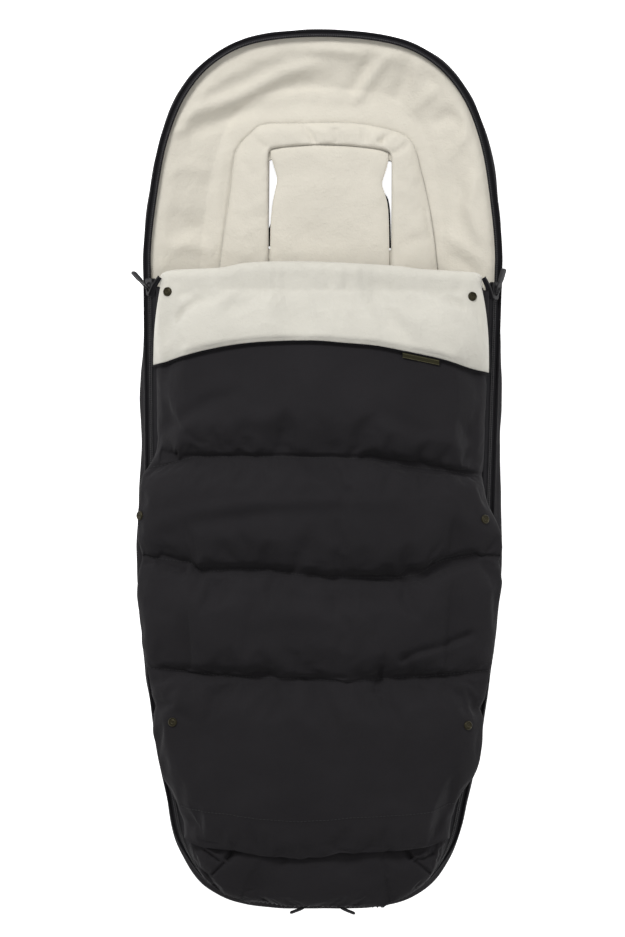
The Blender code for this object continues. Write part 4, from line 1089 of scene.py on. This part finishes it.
def build_flap():
    """Padded flap over the harness window, and its black backing."""
    rows, columns, base_y = 60, 64, 0.212
    left, right = (even(through(spots(side), 300), rows) for side in (FLAP_LEFT, FLAP_RIGHT))
    top_line = even(through(spots(FLAP_TOP), 300), columns)
    v = np.linspace(0, 1, rows)
    v = (v - 0.35 * np.sin(2 * pi * v) / (2 * pi))[:, None]
    u = np.linspace(0, 1, columns)
    u = u - 0.45 * np.sin(2 * pi * u) / (2 * pi)
    top_y = np.interp(u, (top_line[:, 0] - top_line[0, 0]) / np.ptp(top_line[[0, -1], 0]), top_line[:, 1])
    y = base_y + (top_y[None] - base_y) * v
    left_x, right_x = (np.interp(y, side[:, 1], side[:, 0]) for side in (left, right))
    flat = np.stack([left_x + (right_x - left_x) * u[None], y], -1)
    puff = (1 - np.abs(2 * u[None] - 1) ** 7) ** 0.5 * (1 - v ** 22) ** 0.4
    lift = (0.0042 + 0.0009 * ripple(flat, 22.0, 11.0) + folds(flat, FLAP_FOLDS)) * puff
    top = raised(flat, 0.0245 + lift)
    over_back = (y > WINDOW_HIGH - 0.004) | (y < WINDOW_LOW + 0.0006)
    bottom = raised(flat, np.where(over_back, 0.0240, 0.0148))
    body = body_between("harness_flap_fleece", top, bottom)
    dress(body, cream_fleece, None, "cream_fleece", "flap_fleece", "flap_wadding")
    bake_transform(body)
    keep = (y[:, 0] < WINDOW_HIGH - 0.003) & (y[:, 0] > WINDOW_LOW + 0.0010)
    back = bottom[keep] - UP * 0.0002
    for side, closed_py, sign in ((u, 190, 1), (1 - u, 222, -1)):
        closed = ease((spot(MIDDLE_PIXEL[0], closed_py)[1] - back[..., 1]) / 0.008)
        back[..., 0] += sign * 0.0021 * closed * side[None] ** 16
    cloth = body_between("harness_flap_backing", back, back - UP * 0.0014)
    dress(cloth, black_cloth, "harness_flap", "black_cloth", "flap_backing")


FLAP_FOLDS = (
    (1, 12, 280, 195, 310, 185, 350, 188),
    (-1, 14, 290, 240, 330, 232, 372, 244),
    (-0.8, 10, 280, 165, 300, 172, 330, 168),
)


# Fold-over collar

COLLAR_HEM = (
    153, 368, 165, 365, 177, 361, 196, 355, 222, 349, 248, 345, 273, 343, 299, 342, 320, 342, 347, 344,
    374, 346, 400, 350.5, 440, 358.5, 467, 367, 489, 372)
COLLAR_FOLD = (
    160.5, 278, 164, 274.5, 177, 271.5, 219, 269, 245, 264, 277, 262, 321, 262, 392, 265, 421, 268, 470,
    270.6, 478, 272, 482, 275.5)
COLLAR_FOLDS = (
    (-1.8, 12, 172, 318, 215, 316, 262, 322),
    (1.6, 12, 210, 335, 250, 326, 300, 322),
    (2, 13, 330, 285, 365, 300, 420, 330),
    (-2, 13, 345, 280, 385, 292, 440, 315),
    (1.8, 12, 170, 300, 196, 290, 232, 296),
    (1.4, 14, 262, 296, 300, 300, 340, 298),
    (1.6, 10, 430, 300, 455, 318, 470, 345),
)
COLLAR_THICKNESS = 0.0105


def cover_height(top, x, y):
    """Height of the cover's outer face above places near the mouth."""
    points = top[-150:].reshape(-1, 3)
    result = np.empty(x.shape)
    for k in np.ndindex(x.shape):
        away = (points[:, 0] - x[k]) ** 2 + (points[:, 1] - y[k]) ** 2
        near = np.argpartition(away, 4)[:4]
        weight = 1 / (away[near] + 1e-8)
        result[k] = np.sum(points[near, 2] * weight) / np.sum(weight)
    return result


def build_collar(top):
    """Collar: fleece over the top, round the roll and back under, with a bound black edge."""
    columns, across = 121, 34
    fold, hem = (even(through(spots(line), 400), columns) for line in (COLLAR_FOLD, COLLAR_HEM))
    share = np.linspace(0, 1, across)[:, None]
    flat = np.stack([hem[:, 0] + (fold[:, 0] - hem[:, 0]) * share ** 2.4,
                     hem[:, 1] + (fold[:, 1] - ROLL_RADIUS - hem[:, 1]) * share], -1)
    under = cover_height(top, flat[..., 0], np.minimum(flat[..., 1], MOUTH_Y - 0.002))
    side = np.abs(np.linspace(-1, 1, columns))
    roll_top = ROLL_Z + ROLL_RADIUS - 0.010 * ease((side - 0.86) / 0.14)
    rest = under + COLLAR_THICKNESS
    rolled = ease((share - 0.45) / 0.55)
    z = rest * (1 - rolled) + np.minimum(rest, roll_top[None] + 0.004) * rolled
    z[-1] = np.minimum(z[-1], roll_top)
    edge_round = 0.0055 * (1 - ease(share / 0.10))
    side_round = 0.0060 * (1 - np.sqrt(np.clip(1 - ((side - 0.93) / 0.07).clip(0, 1) ** 2, 0, 1)))[None]
    swell = 0.0012 * ripple(flat, 20.0, 14.0) + folds(flat, COLLAR_FOLDS)
    z = z - edge_round - side_round + swell * ease(share / 0.15)
    for _ in range(40):
        for columns_there in (slice(0, 9), slice(-9, None)):
            strip = z[:, columns_there]
            strip[1:-1] = 0.25 * strip[:-2] + 0.5 * strip[1:-1] + 0.25 * strip[2:]
    upper = raised(flat, z)
    radius = np.minimum(ROLL_RADIUS, (z[-1] - 0.0565) / 2)
    turn = [np.column_stack([upper[-1, :, 0], upper[-1, :, 1] + ROLL_RADIUS * sin(a),
                             z[-1] - radius * (1 - cos(a))]) for a in np.linspace(0, pi * 0.98, 16)[1:]]
    back = [np.column_stack([flat[-2, :, 0], np.full(columns, MOUTH_Y + ahead), height])
            for ahead, height in ((0.0025, turn[-1][:, 2] + 0.001), (0.0022, z[-1] - 0.0062))]
    for k in range(across - 4, -1, -3):
        bottom = np.minimum(under[k] + 0.0016, upper[k, :, 2] - 0.0025)
        back.append(np.column_stack([flat[k, :, 0], np.minimum(flat[k, :, 1], MOUTH_Y), bottom]))
    loop = np.concatenate([upper, np.array(turn), np.array(back)])
    starts = np.arange(len(loop)) * columns
    polygons = grid_faces(len(loop), columns, closed_rows=True).tolist()
    polygons += [starts, starts[::-1] + columns - 1]
    collar = mixed_mesh("collar_fold_over", loop.reshape(-1, 3), polygons)
    dress(collar, shaded_collar_pile, "fold_over", "cream_fleece", "collar_fleece", "collar_wadding",
          "collar_roll", "collar_backing")
    collar.data.materials.append(black_cloth)
    first_back, last_back = len(upper) + len(turn), len(loop) - 1
    for polygon in collar.data.polygons:
        if first_back <= polygon.index // (columns - 1) < last_back:
            polygon.material_index = 1

    edge = even(np.vstack([upper[5:, 0][::-1], upper[0], upper[5:, -1]]), 240) - UP * 0.0015
    binding = tube("collar_binding", edge, 0.0013, flatten=1.7)
    dress(binding, black_trim, "fold_over", "black_cloth", "collar_hem")
    return upper, grid_normals(upper)


# Zip

def zip_strip(name, across, columns, body, *nodes):
    """Tape beside the zip's line over a run of ring columns."""
    top, bottom = (np.array([zip_ring(a, lift)[columns] for a in np.linspace(*across, 5)])
                   for lift in (0.0, -TAPE_THICKNESS))
    if len(columns) == RING_COLUMNS:
        item = body_between(name, top[::-1], bottom[::-1], closed_columns=True)
    else:
        item = body_between(name, top.swapaxes(0, 1), bottom.swapaxes(0, 1))
    fix_normals(item)
    return dress(item, tape_black, body, "zip_tape", *nodes)


def zip_teeth(name, across, columns, body, *nodes):
    """Moulded teeth in a row beside the zip's line."""
    if len(columns) == RING_COLUMNS:
        columns = np.r_[columns, columns[0]]
    inner, line, outer = (zip_ring(a)[columns] for a in (across[0], sum(across) / 2, across[1]))
    marks, centres, along = marks_along(line, TOOTH_PITCH, 0.0004)
    item = small_boxes(name, centres, along, unit(sample(outer - inner, marks, line)),
                       (TOOTH_LENGTH, across[1] - across[0], TOOTH_HEIGHT), 0.00025)
    return dress(item, teeth_black, body, "zip_teeth", *nodes)


def build_zip():
    """Tapes and teeth of the back's zip, the two sides and the foot, and the piping round the rim."""
    every = np.arange(RING_COLUMNS)
    right = every[:RING_COLUMNS // 2 + 1]
    y = outline[right, 1]
    side_right = right[(y > HINGE_Y - HINGE_REACH) & (y < 0.2035)]
    foot_right = right[:side_right[0]]
    side_right = np.r_[foot_right[-1], side_right]
    side_left = (RING_COLUMNS - side_right)[::-1]
    foot = np.r_[(RING_COLUMNS - foot_right[1:])[::-1], foot_right]
    tape, teeth = (0.0001, TAPE_WIDTH + 0.0022), (0.0005, 0.0024)
    zip_strip("zip_tape_back", (-TAPE_WIDTH, -tape[0]), every, "root", "back_zip_tape")
    zip_teeth("zip_teeth_back", (-teeth[1], -teeth[0]), every, "root", "back_zip_teeth")
    for name, columns in (("left", side_left), ("right", side_right)):
        bend(zip_strip("zip_tape_" + name, tape, columns, None, "cover_zip_tape_" + name))
        bend(zip_teeth("zip_teeth_" + name, teeth, columns, None, "cover_zip_teeth_" + name))
    zip_strip("zip_tape_foot", tape, foot, "root", "foot_zip_tape")
    zip_teeth("zip_teeth_foot", teeth, foot, "root", "foot_zip_teeth")
    cord = tube("rim_piping", zip_ring(-TAPE_WIDTH - 0.0002, 0.0006), 0.0019, sides=10, closed=True)
    fix_normals(cord)
    dress(cord, black_trim, "root", "black_cloth")


# Snap caps

def columns_to_matrix(origin, x, y, z):
    """Frame whose columns are three unit vectors."""
    return Matrix.Translation(Vector(origin)) @ Matrix((x, y, z)).transposed().to_4x4()


SNAP_PROFILE = ((0.0050, -0.0006), (0.0052, 0.0004), (0.0050, 0.0013), (0.0044, 0.0017),
                (0.0038, 0.0013), (0.0035, 0.0008), (0.0031, 0.0010), (0.0022, 0.0014), (0.0013, 0.0010),
                (0.0010, 0.0006), (0.0004, 0.0007))
# Piece, node, body and place; the sixth cap sits on the steep left side and is found by its height
SNAPS = (
    ("snap_collar_left", "collar_snap_left", "fold_over", spot(167.9, 294.5)),
    ("snap_collar_right", "collar_snap_right", "fold_over", spot(471.0, 294.4)),
    ("snap_side_right", "side_snap_upper_right", "front_cover", spot(484, 518)),
    ("snap_low_right", "side_snap_lower_right", "root", spot(467, 722)),
    ("snap_low_left", "side_snap_lower_left", "root", (-0.163, -0.287)),
)
LEFT_SNAP_Y, LEFT_SNAP_Z = -0.054, 0.078


def build_snap(name, node_name, body, point, normal, sides=48):
    """Round cap from radius and height pairs, square on the cloth."""
    normal = Vector(normal).normalized()
    across = Vector((0, 1, 0)).cross(normal).normalized()
    matrix = columns_to_matrix(point, across, normal.cross(across).normalized(), normal)
    angles = np.arange(sides) * 2 * pi / sides
    rings = [[(radius * cos(a), radius * sin(a), height) for a in angles] for radius, height in SNAP_PROFILE]
    item = through_rings(name, rings, matrix, 50)
    dress(item, snap_brass, body, "snap_brass", node_name)


def surface_at(grid, normals, x, y):
    """Nearest upward point of a grid to a place, with its normal."""
    away = (grid[..., 0] - x) ** 2 + (grid[..., 1] - y) ** 2
    k = np.unravel_index(np.argmin(np.where(normals[..., 2] > 0.05, away, 1e9)), away.shape)
    return grid[k], normals[k]


def build_snaps(cover, cover_normal, collar, collar_normal):
    """The six snap caps, each on the cloth below its place."""
    for name, node_name, body, place in SNAPS:
        face = (collar, collar_normal) if body == "fold_over" else (cover, cover_normal)
        build_snap(name, node_name, body, *surface_at(*face, *place))
    row = np.argmin(np.abs(cover[:, 0, 1] - LEFT_SNAP_Y))
    k = np.argmin(np.abs(cover[row, :COVER_COLUMNS // 2, 2] - LEFT_SNAP_Z))
    build_snap("snap_side_left", "side_snap_upper_left", "front_cover", cover[row, k], cover_normal[row, k])


def plate(name, outlines, thickness, matrix, bevel):
    """Flat plate with rounded edges from a 2D outline, holes after the first."""
    curve = bpy.data.curves.new(name, "CURVE")
    curve.dimensions = "2D"
    curve.fill_mode = "BOTH"
    curve.extrude = thickness / 2 - bevel
    curve.bevel_depth = bevel
    curve.bevel_resolution = 2
    for corners in outlines:
        line = curve.splines.new("POLY")
        line.points.add(len(corners) - 1)
        for point, (x, y) in zip(line.points, corners):
            point.co = (x, y, 0, 1)
        line.use_cyclic_u = True
    raw = placed(name + "_flat", curve)
    bpy.context.view_layer.update()
    mesh = bpy.data.meshes.new_from_object(raw.evaluated_get(bpy.context.evaluated_depsgraph_get()))
    bpy.data.objects.remove(raw, do_unlink=True)
    mesh.transform(matrix)
    mesh.name = name
    mesh.materials.clear()
    return placed(name, mesh)


def rounded(points, radius, steps=5):
    """2D outline with its corners rounded."""
    result = []
    points = np.asarray(points, float)
    for k, corner in enumerate(points):
        before, after = points[k - 1] - corner, points[(k + 1) % len(points)] - corner
        r = min(radius, 0.45 * np.linalg.norm(before), 0.45 * np.linalg.norm(after))
        a = corner + before / np.linalg.norm(before) * r
        b = corner + after / np.linalg.norm(after) * r
        for t in np.linspace(0, 1, steps):
            result.append((1 - t) ** 2 * a + 2 * t * (1 - t) * corner + t * t * b)
    return result


# Sliders, pulls, label and the plain solids

SLIDER_OUTLINE = ((-0.0036, -0.0095), (0.0036, -0.0095), (0.0050, -0.0020), (0.0060, 0.0040),
                  (0.0056, 0.0092), (0.0012, 0.0095), (0, 0.0080), (-0.0012, 0.0095),
                  (-0.0056, 0.0092), (-0.0060, 0.0040), (-0.0050, -0.0020))
SLIDER_THROAT, SLIDER_PLATE = 0.0032, 0.0014
PULL_LENGTH, PULL_WIDTH, PULL_EYE, GRIP_START = 0.0280, 0.0078, 0.0060, 0.0102


def node_points(name):
    """Corners of a CAD node as an array."""
    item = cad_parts[name]
    return np.array([item.matrix_world @ v.co for v in item.data.vertices])


def slider_matrix(name, pull_name):
    """Frame on the zip's line: Y towards the slider's nose, Z off the tape."""
    centre = node_points(name).mean(axis=0)
    k = np.argmin(np.linalg.norm(zip_line - centre[:2], axis=1))
    along = np.array([-zip_normal[k, 1], zip_normal[k, 0]])
    along *= np.sign(along @ (node_points(pull_name).mean(axis=0) - centre)[:2])
    place = zip_line[k] + along * (along @ (centre[:2] - zip_line[k]))
    off = np.r_[zip_normal[k] * sin(zip_tilt[k]), cos(zip_tilt[k])]
    nose = np.r_[along, 0.0]
    return columns_to_matrix((*place, ZIP_HEIGHT), Vector(np.cross(nose, off)), Vector(nose), Vector(off))


def bar(name, sections, matrix, sides=20):
    """Rounded bar: running place, half width and half thickness of each section."""
    angles = np.arange(sides) * 2 * pi / sides
    across, high = (np.sign(wave) * np.abs(wave) ** 0.55 for wave in (np.cos(angles), np.sin(angles)))
    rings = [[(half_width * a, place, half_height * h) for a, h in zip(across, high)]
             for place, half_width, half_height in sections]
    return through_rings(name, rings, matrix, 60)


def build_slider(name, pull_name):
    """Two plates with a neck between them and a bridge for the pull."""
    matrix = slider_matrix(name, pull_name)
    height = (SLIDER_THROAT + SLIDER_PLATE) / 2
    shape = rounded(SLIDER_OUTLINE, 0.0014)
    for part, z, nodes in (("top", height, (name,)), ("base", -height, ())):
        place = matrix @ Matrix.Translation((0, 0, z))
        item = plate(name + "_" + part, [shape], SLIDER_PLATE, place, 0.0004)
        dress(item, slider_black, name, "slider_metal", *nodes)
    neck = bar(name + "_neck", [(0.0052, 0.0005, height), (0.0090, 0.0014, height)], matrix)
    sunk, half, rise = height + SLIDER_PLATE / 2 - 0.0006, 0.0052, 0.0030
    arch = [matrix @ Vector((0.0, y, sunk + rise * (1 - (y / half) ** 4)))
            for y in np.linspace(-half, half, 15)]
    bridge = tube(name + "_bridge", arch, 0.00075, sides=10, flatten=1.6, up=matrix.to_3x3() @ Vector(UP))
    for item in (neck, bridge):
        dress(item, slider_black, name, "slider_metal")


def build_pull(name, slider_name):
    """Pull with a flat metal eye and a ribbed rubber grip."""
    corners = node_points(name)
    centre = corners.mean(axis=0)
    _, _, (long, wide, thin) = np.linalg.svd(corners - centre)
    long = long * np.sign(long @ (centre - node_points(slider_name).mean(axis=0)))
    runs, sides, levels = ((corners - centre) @ way for way in (long, wide, thin))
    origin = centre + long * (runs.min() + 0.0008)
    origin = origin + thin * (levels.min() + levels.max()) / 2 + wide * (sides.min() + sides.max()) / 2
    matrix = columns_to_matrix(origin, Vector(np.cross(long, thin)), Vector(long), Vector(thin))
    half = PULL_WIDTH / 2
    outer, eye = (rounded(((x, low), (x, high), (-x, high), (-x, low)), radius)
                  for x, low, high, radius in ((half * 0.80, -0.0008, 0.0140, 0.0012),
                                               (half * 0.60, 0.0008, PULL_EYE, 0.0009)))
    tab = plate(name + "_tab", [outer, eye], 0.0015, matrix, 0.0003)
    dress(tab, slider_black, name, "slider_metal")
    sections = []
    for share in np.linspace(0, 1, 57):
        run = GRIP_START + (PULL_LENGTH - GRIP_START) * share
        close = (1 - abs(2 * share - 1) ** 10) ** 0.5
        ribs = 0.00022 * (np.cos((run - 0.0160) * 2 * pi / 0.0024) > 0.2) * (abs(share - 0.52) < 0.34)
        sections.append((run, half * (0.82 + 0.18 * ease(share / 0.35)) * (0.12 + 0.88 * close),
                         (0.0014 + 0.0003 * ease(share / 0.5) + ribs) * (0.25 + 0.75 * close)))
    grip = bar(name + "_grip", sections, matrix)
    dress(grip, pull_grey, name, "pull_rubber", name)


def build_label(cover):
    """Blank woven label hanging from the collar's hem, with a lighter border."""
    count, across, slant = 40, 7, 0.197
    px = np.linspace(402, 438.5, count)
    high, low = (spots(np.column_stack([px, py + (px - 402) * slant])) for py in (352, 357.2))
    share = np.linspace(0, 1, across)
    flat = low[None] + (high - low)[None] * share[:, None, None]
    under = cover_height(cover, flat[..., 0], flat[..., 1])
    rise = 0.0022 + 0.0030 * share[:, None] + 0.0004 * np.sin(np.linspace(0, 9, count))[None]
    face = raised(flat, under + rise)
    label = body_between("woven_label_tab", face, face - UP * 0.0012)
    dress(label, label_olive, "fold_over", "label_weave", "woven_label")
    for name, row in (("label_border_low", 0.5), ("label_border_high", across - 2.2)):
        line = rows_through(face, [row - 0.22, row + 0.22]) + UP * 0.0002
        edge = body_between(name, line, line - UP * 0.0004)
        dress(edge, label_light, "fold_over", "label_weave")


def build_tape_tips():
    """Free ends of the cover's zip tape, turned in above the side sliders."""
    for word, side, stations in (("left", -1, (151.0, 298, 155.0, 288, 160.5, 279.5)),
                                 ("right", 1, (490.5, 297, 487.5, 286, 483.0, 276.5))):
        path = through(spots(stations), 24)
        share = np.linspace(0, 1, 24)
        ahead = unit(np.gradient(path, axis=0))
        out = np.column_stack([ahead[:, 1], -ahead[:, 0]]) * (0.0034 - 0.0012 * share)[:, None]
        height = 0.0560 + 0.0150 * share
        face = np.array([raised(path + out * k, height) for k in (-1, -0.3, 0.4, 1)])
        if np.cross(face[1, 5] - face[0, 5], face[0, 6] - face[0, 5])[2] < 0:
            face = face[::-1]
        tip = body_between("tape_tip_" + word, face, face - UP * 0.0011)
        dress(tip, tape_black, "front_cover", "zip_tape")
        rim = raised(path + out * side, height + 0.0003)
        dress(tube("tape_tip_edge_" + word, rim, 0.0009), teeth_black, "front_cover", "zip_teeth")


def finish_solids():
    """Materials of the CAD solids that stay."""
    for name, look in (("cover_stud_left", snap_brass), ("cover_stud_right", snap_brass),
                       ("flap_hook_strip", black_trim), ("harness_loop_strip", black_trim)):
        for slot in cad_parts[name].material_slots:
            slot.material = look


def build_fittings(cover):
    """Sliders and their pulls, the label and the ends of the tapes."""
    for side in ("left", "right"):
        for prefix in ("", "foot_"):
            slider, pull = prefix + "slider_" + side, prefix + "pull_" + side
            build_slider(slider, pull)
            build_pull(pull, slider)
    build_label(cover)
    build_tape_tips()
    finish_solids()


# Camera, light and floor

def build_stage():
    """Camera square over the muff, white floor and soft studio light."""
    scene = bpy.context.scene
    scene.view_settings.view_transform = "Standard"
    sensor, distance, shown_z = 24.0, 8.0, 0.05
    camera_data = bpy.data.cameras.new("camera")
    camera_data.sensor_fit = "VERTICAL"
    camera_data.sensor_height = sensor
    camera_data.lens = sensor * (distance - shown_z) / (PICTURE_HEIGHT * METRES_PER_PIXEL)
    camera_data.clip_end = 50.0
    camera = placed("camera", camera_data)
    camera.location = ((PICTURE_WIDTH / 2 - MIDDLE_PIXEL[0]) * METRES_PER_PIXEL,
                       (MIDDLE_PIXEL[1] - PICTURE_HEIGHT / 2) * METRES_PER_PIXEL, distance)
    camera.rotation_euler = (0, 0, MIDDLE_SLOPE)
    scene.camera = camera

    half = 30
    corners = [(-half, -half, 0), (half, -half, 0), (half, half, 0), (-half, half, 0)]
    floor = make_mesh("floor", corners, [(0, 1, 2, 3)], smooth=False)
    white = new_material("floor_white", (0.90, 0.90, 0.90), 0.9, Specular_IOR_Level=0.1,
                         Emission_Color=(1, 1, 1, 1), Emission_Strength=0.95)
    floor.data.materials.append(white)
    floor.location.z = -0.0005

    world = bpy.data.worlds.new("studio")
    scene.world = world
    world.use_nodes = True
    back = world.node_tree.nodes["Background"]
    back.inputs["Color"].default_value = (1, 1, 1, 1)
    back.inputs["Strength"].default_value = 0.46
    lamps = (("key", (-0.8, 1.9, 2.1), 52.0, 0.8), ("fill", (1.6, -0.2, 2.4), 14.0, 1.4))
    for name, place, power, size in lamps:
        light = bpy.data.lights.new(name, "AREA")
        light.energy = power
        light.size = size
        lamp = placed(name, light)
        lamp.location = place
        lamp.rotation_euler = (Vector(place) - Vector((0, 0, shown_z))).to_track_quat("Z", "Y").to_euler()


build_stage()
cover, cover_normal = build_cover()
build_toe()
build_back()
build_arch()
build_flap()
collar, collar_normal = build_collar(cover)
build_zip()
build_snaps(cover, cover_normal, collar, collar_normal)
build_fittings(cover)
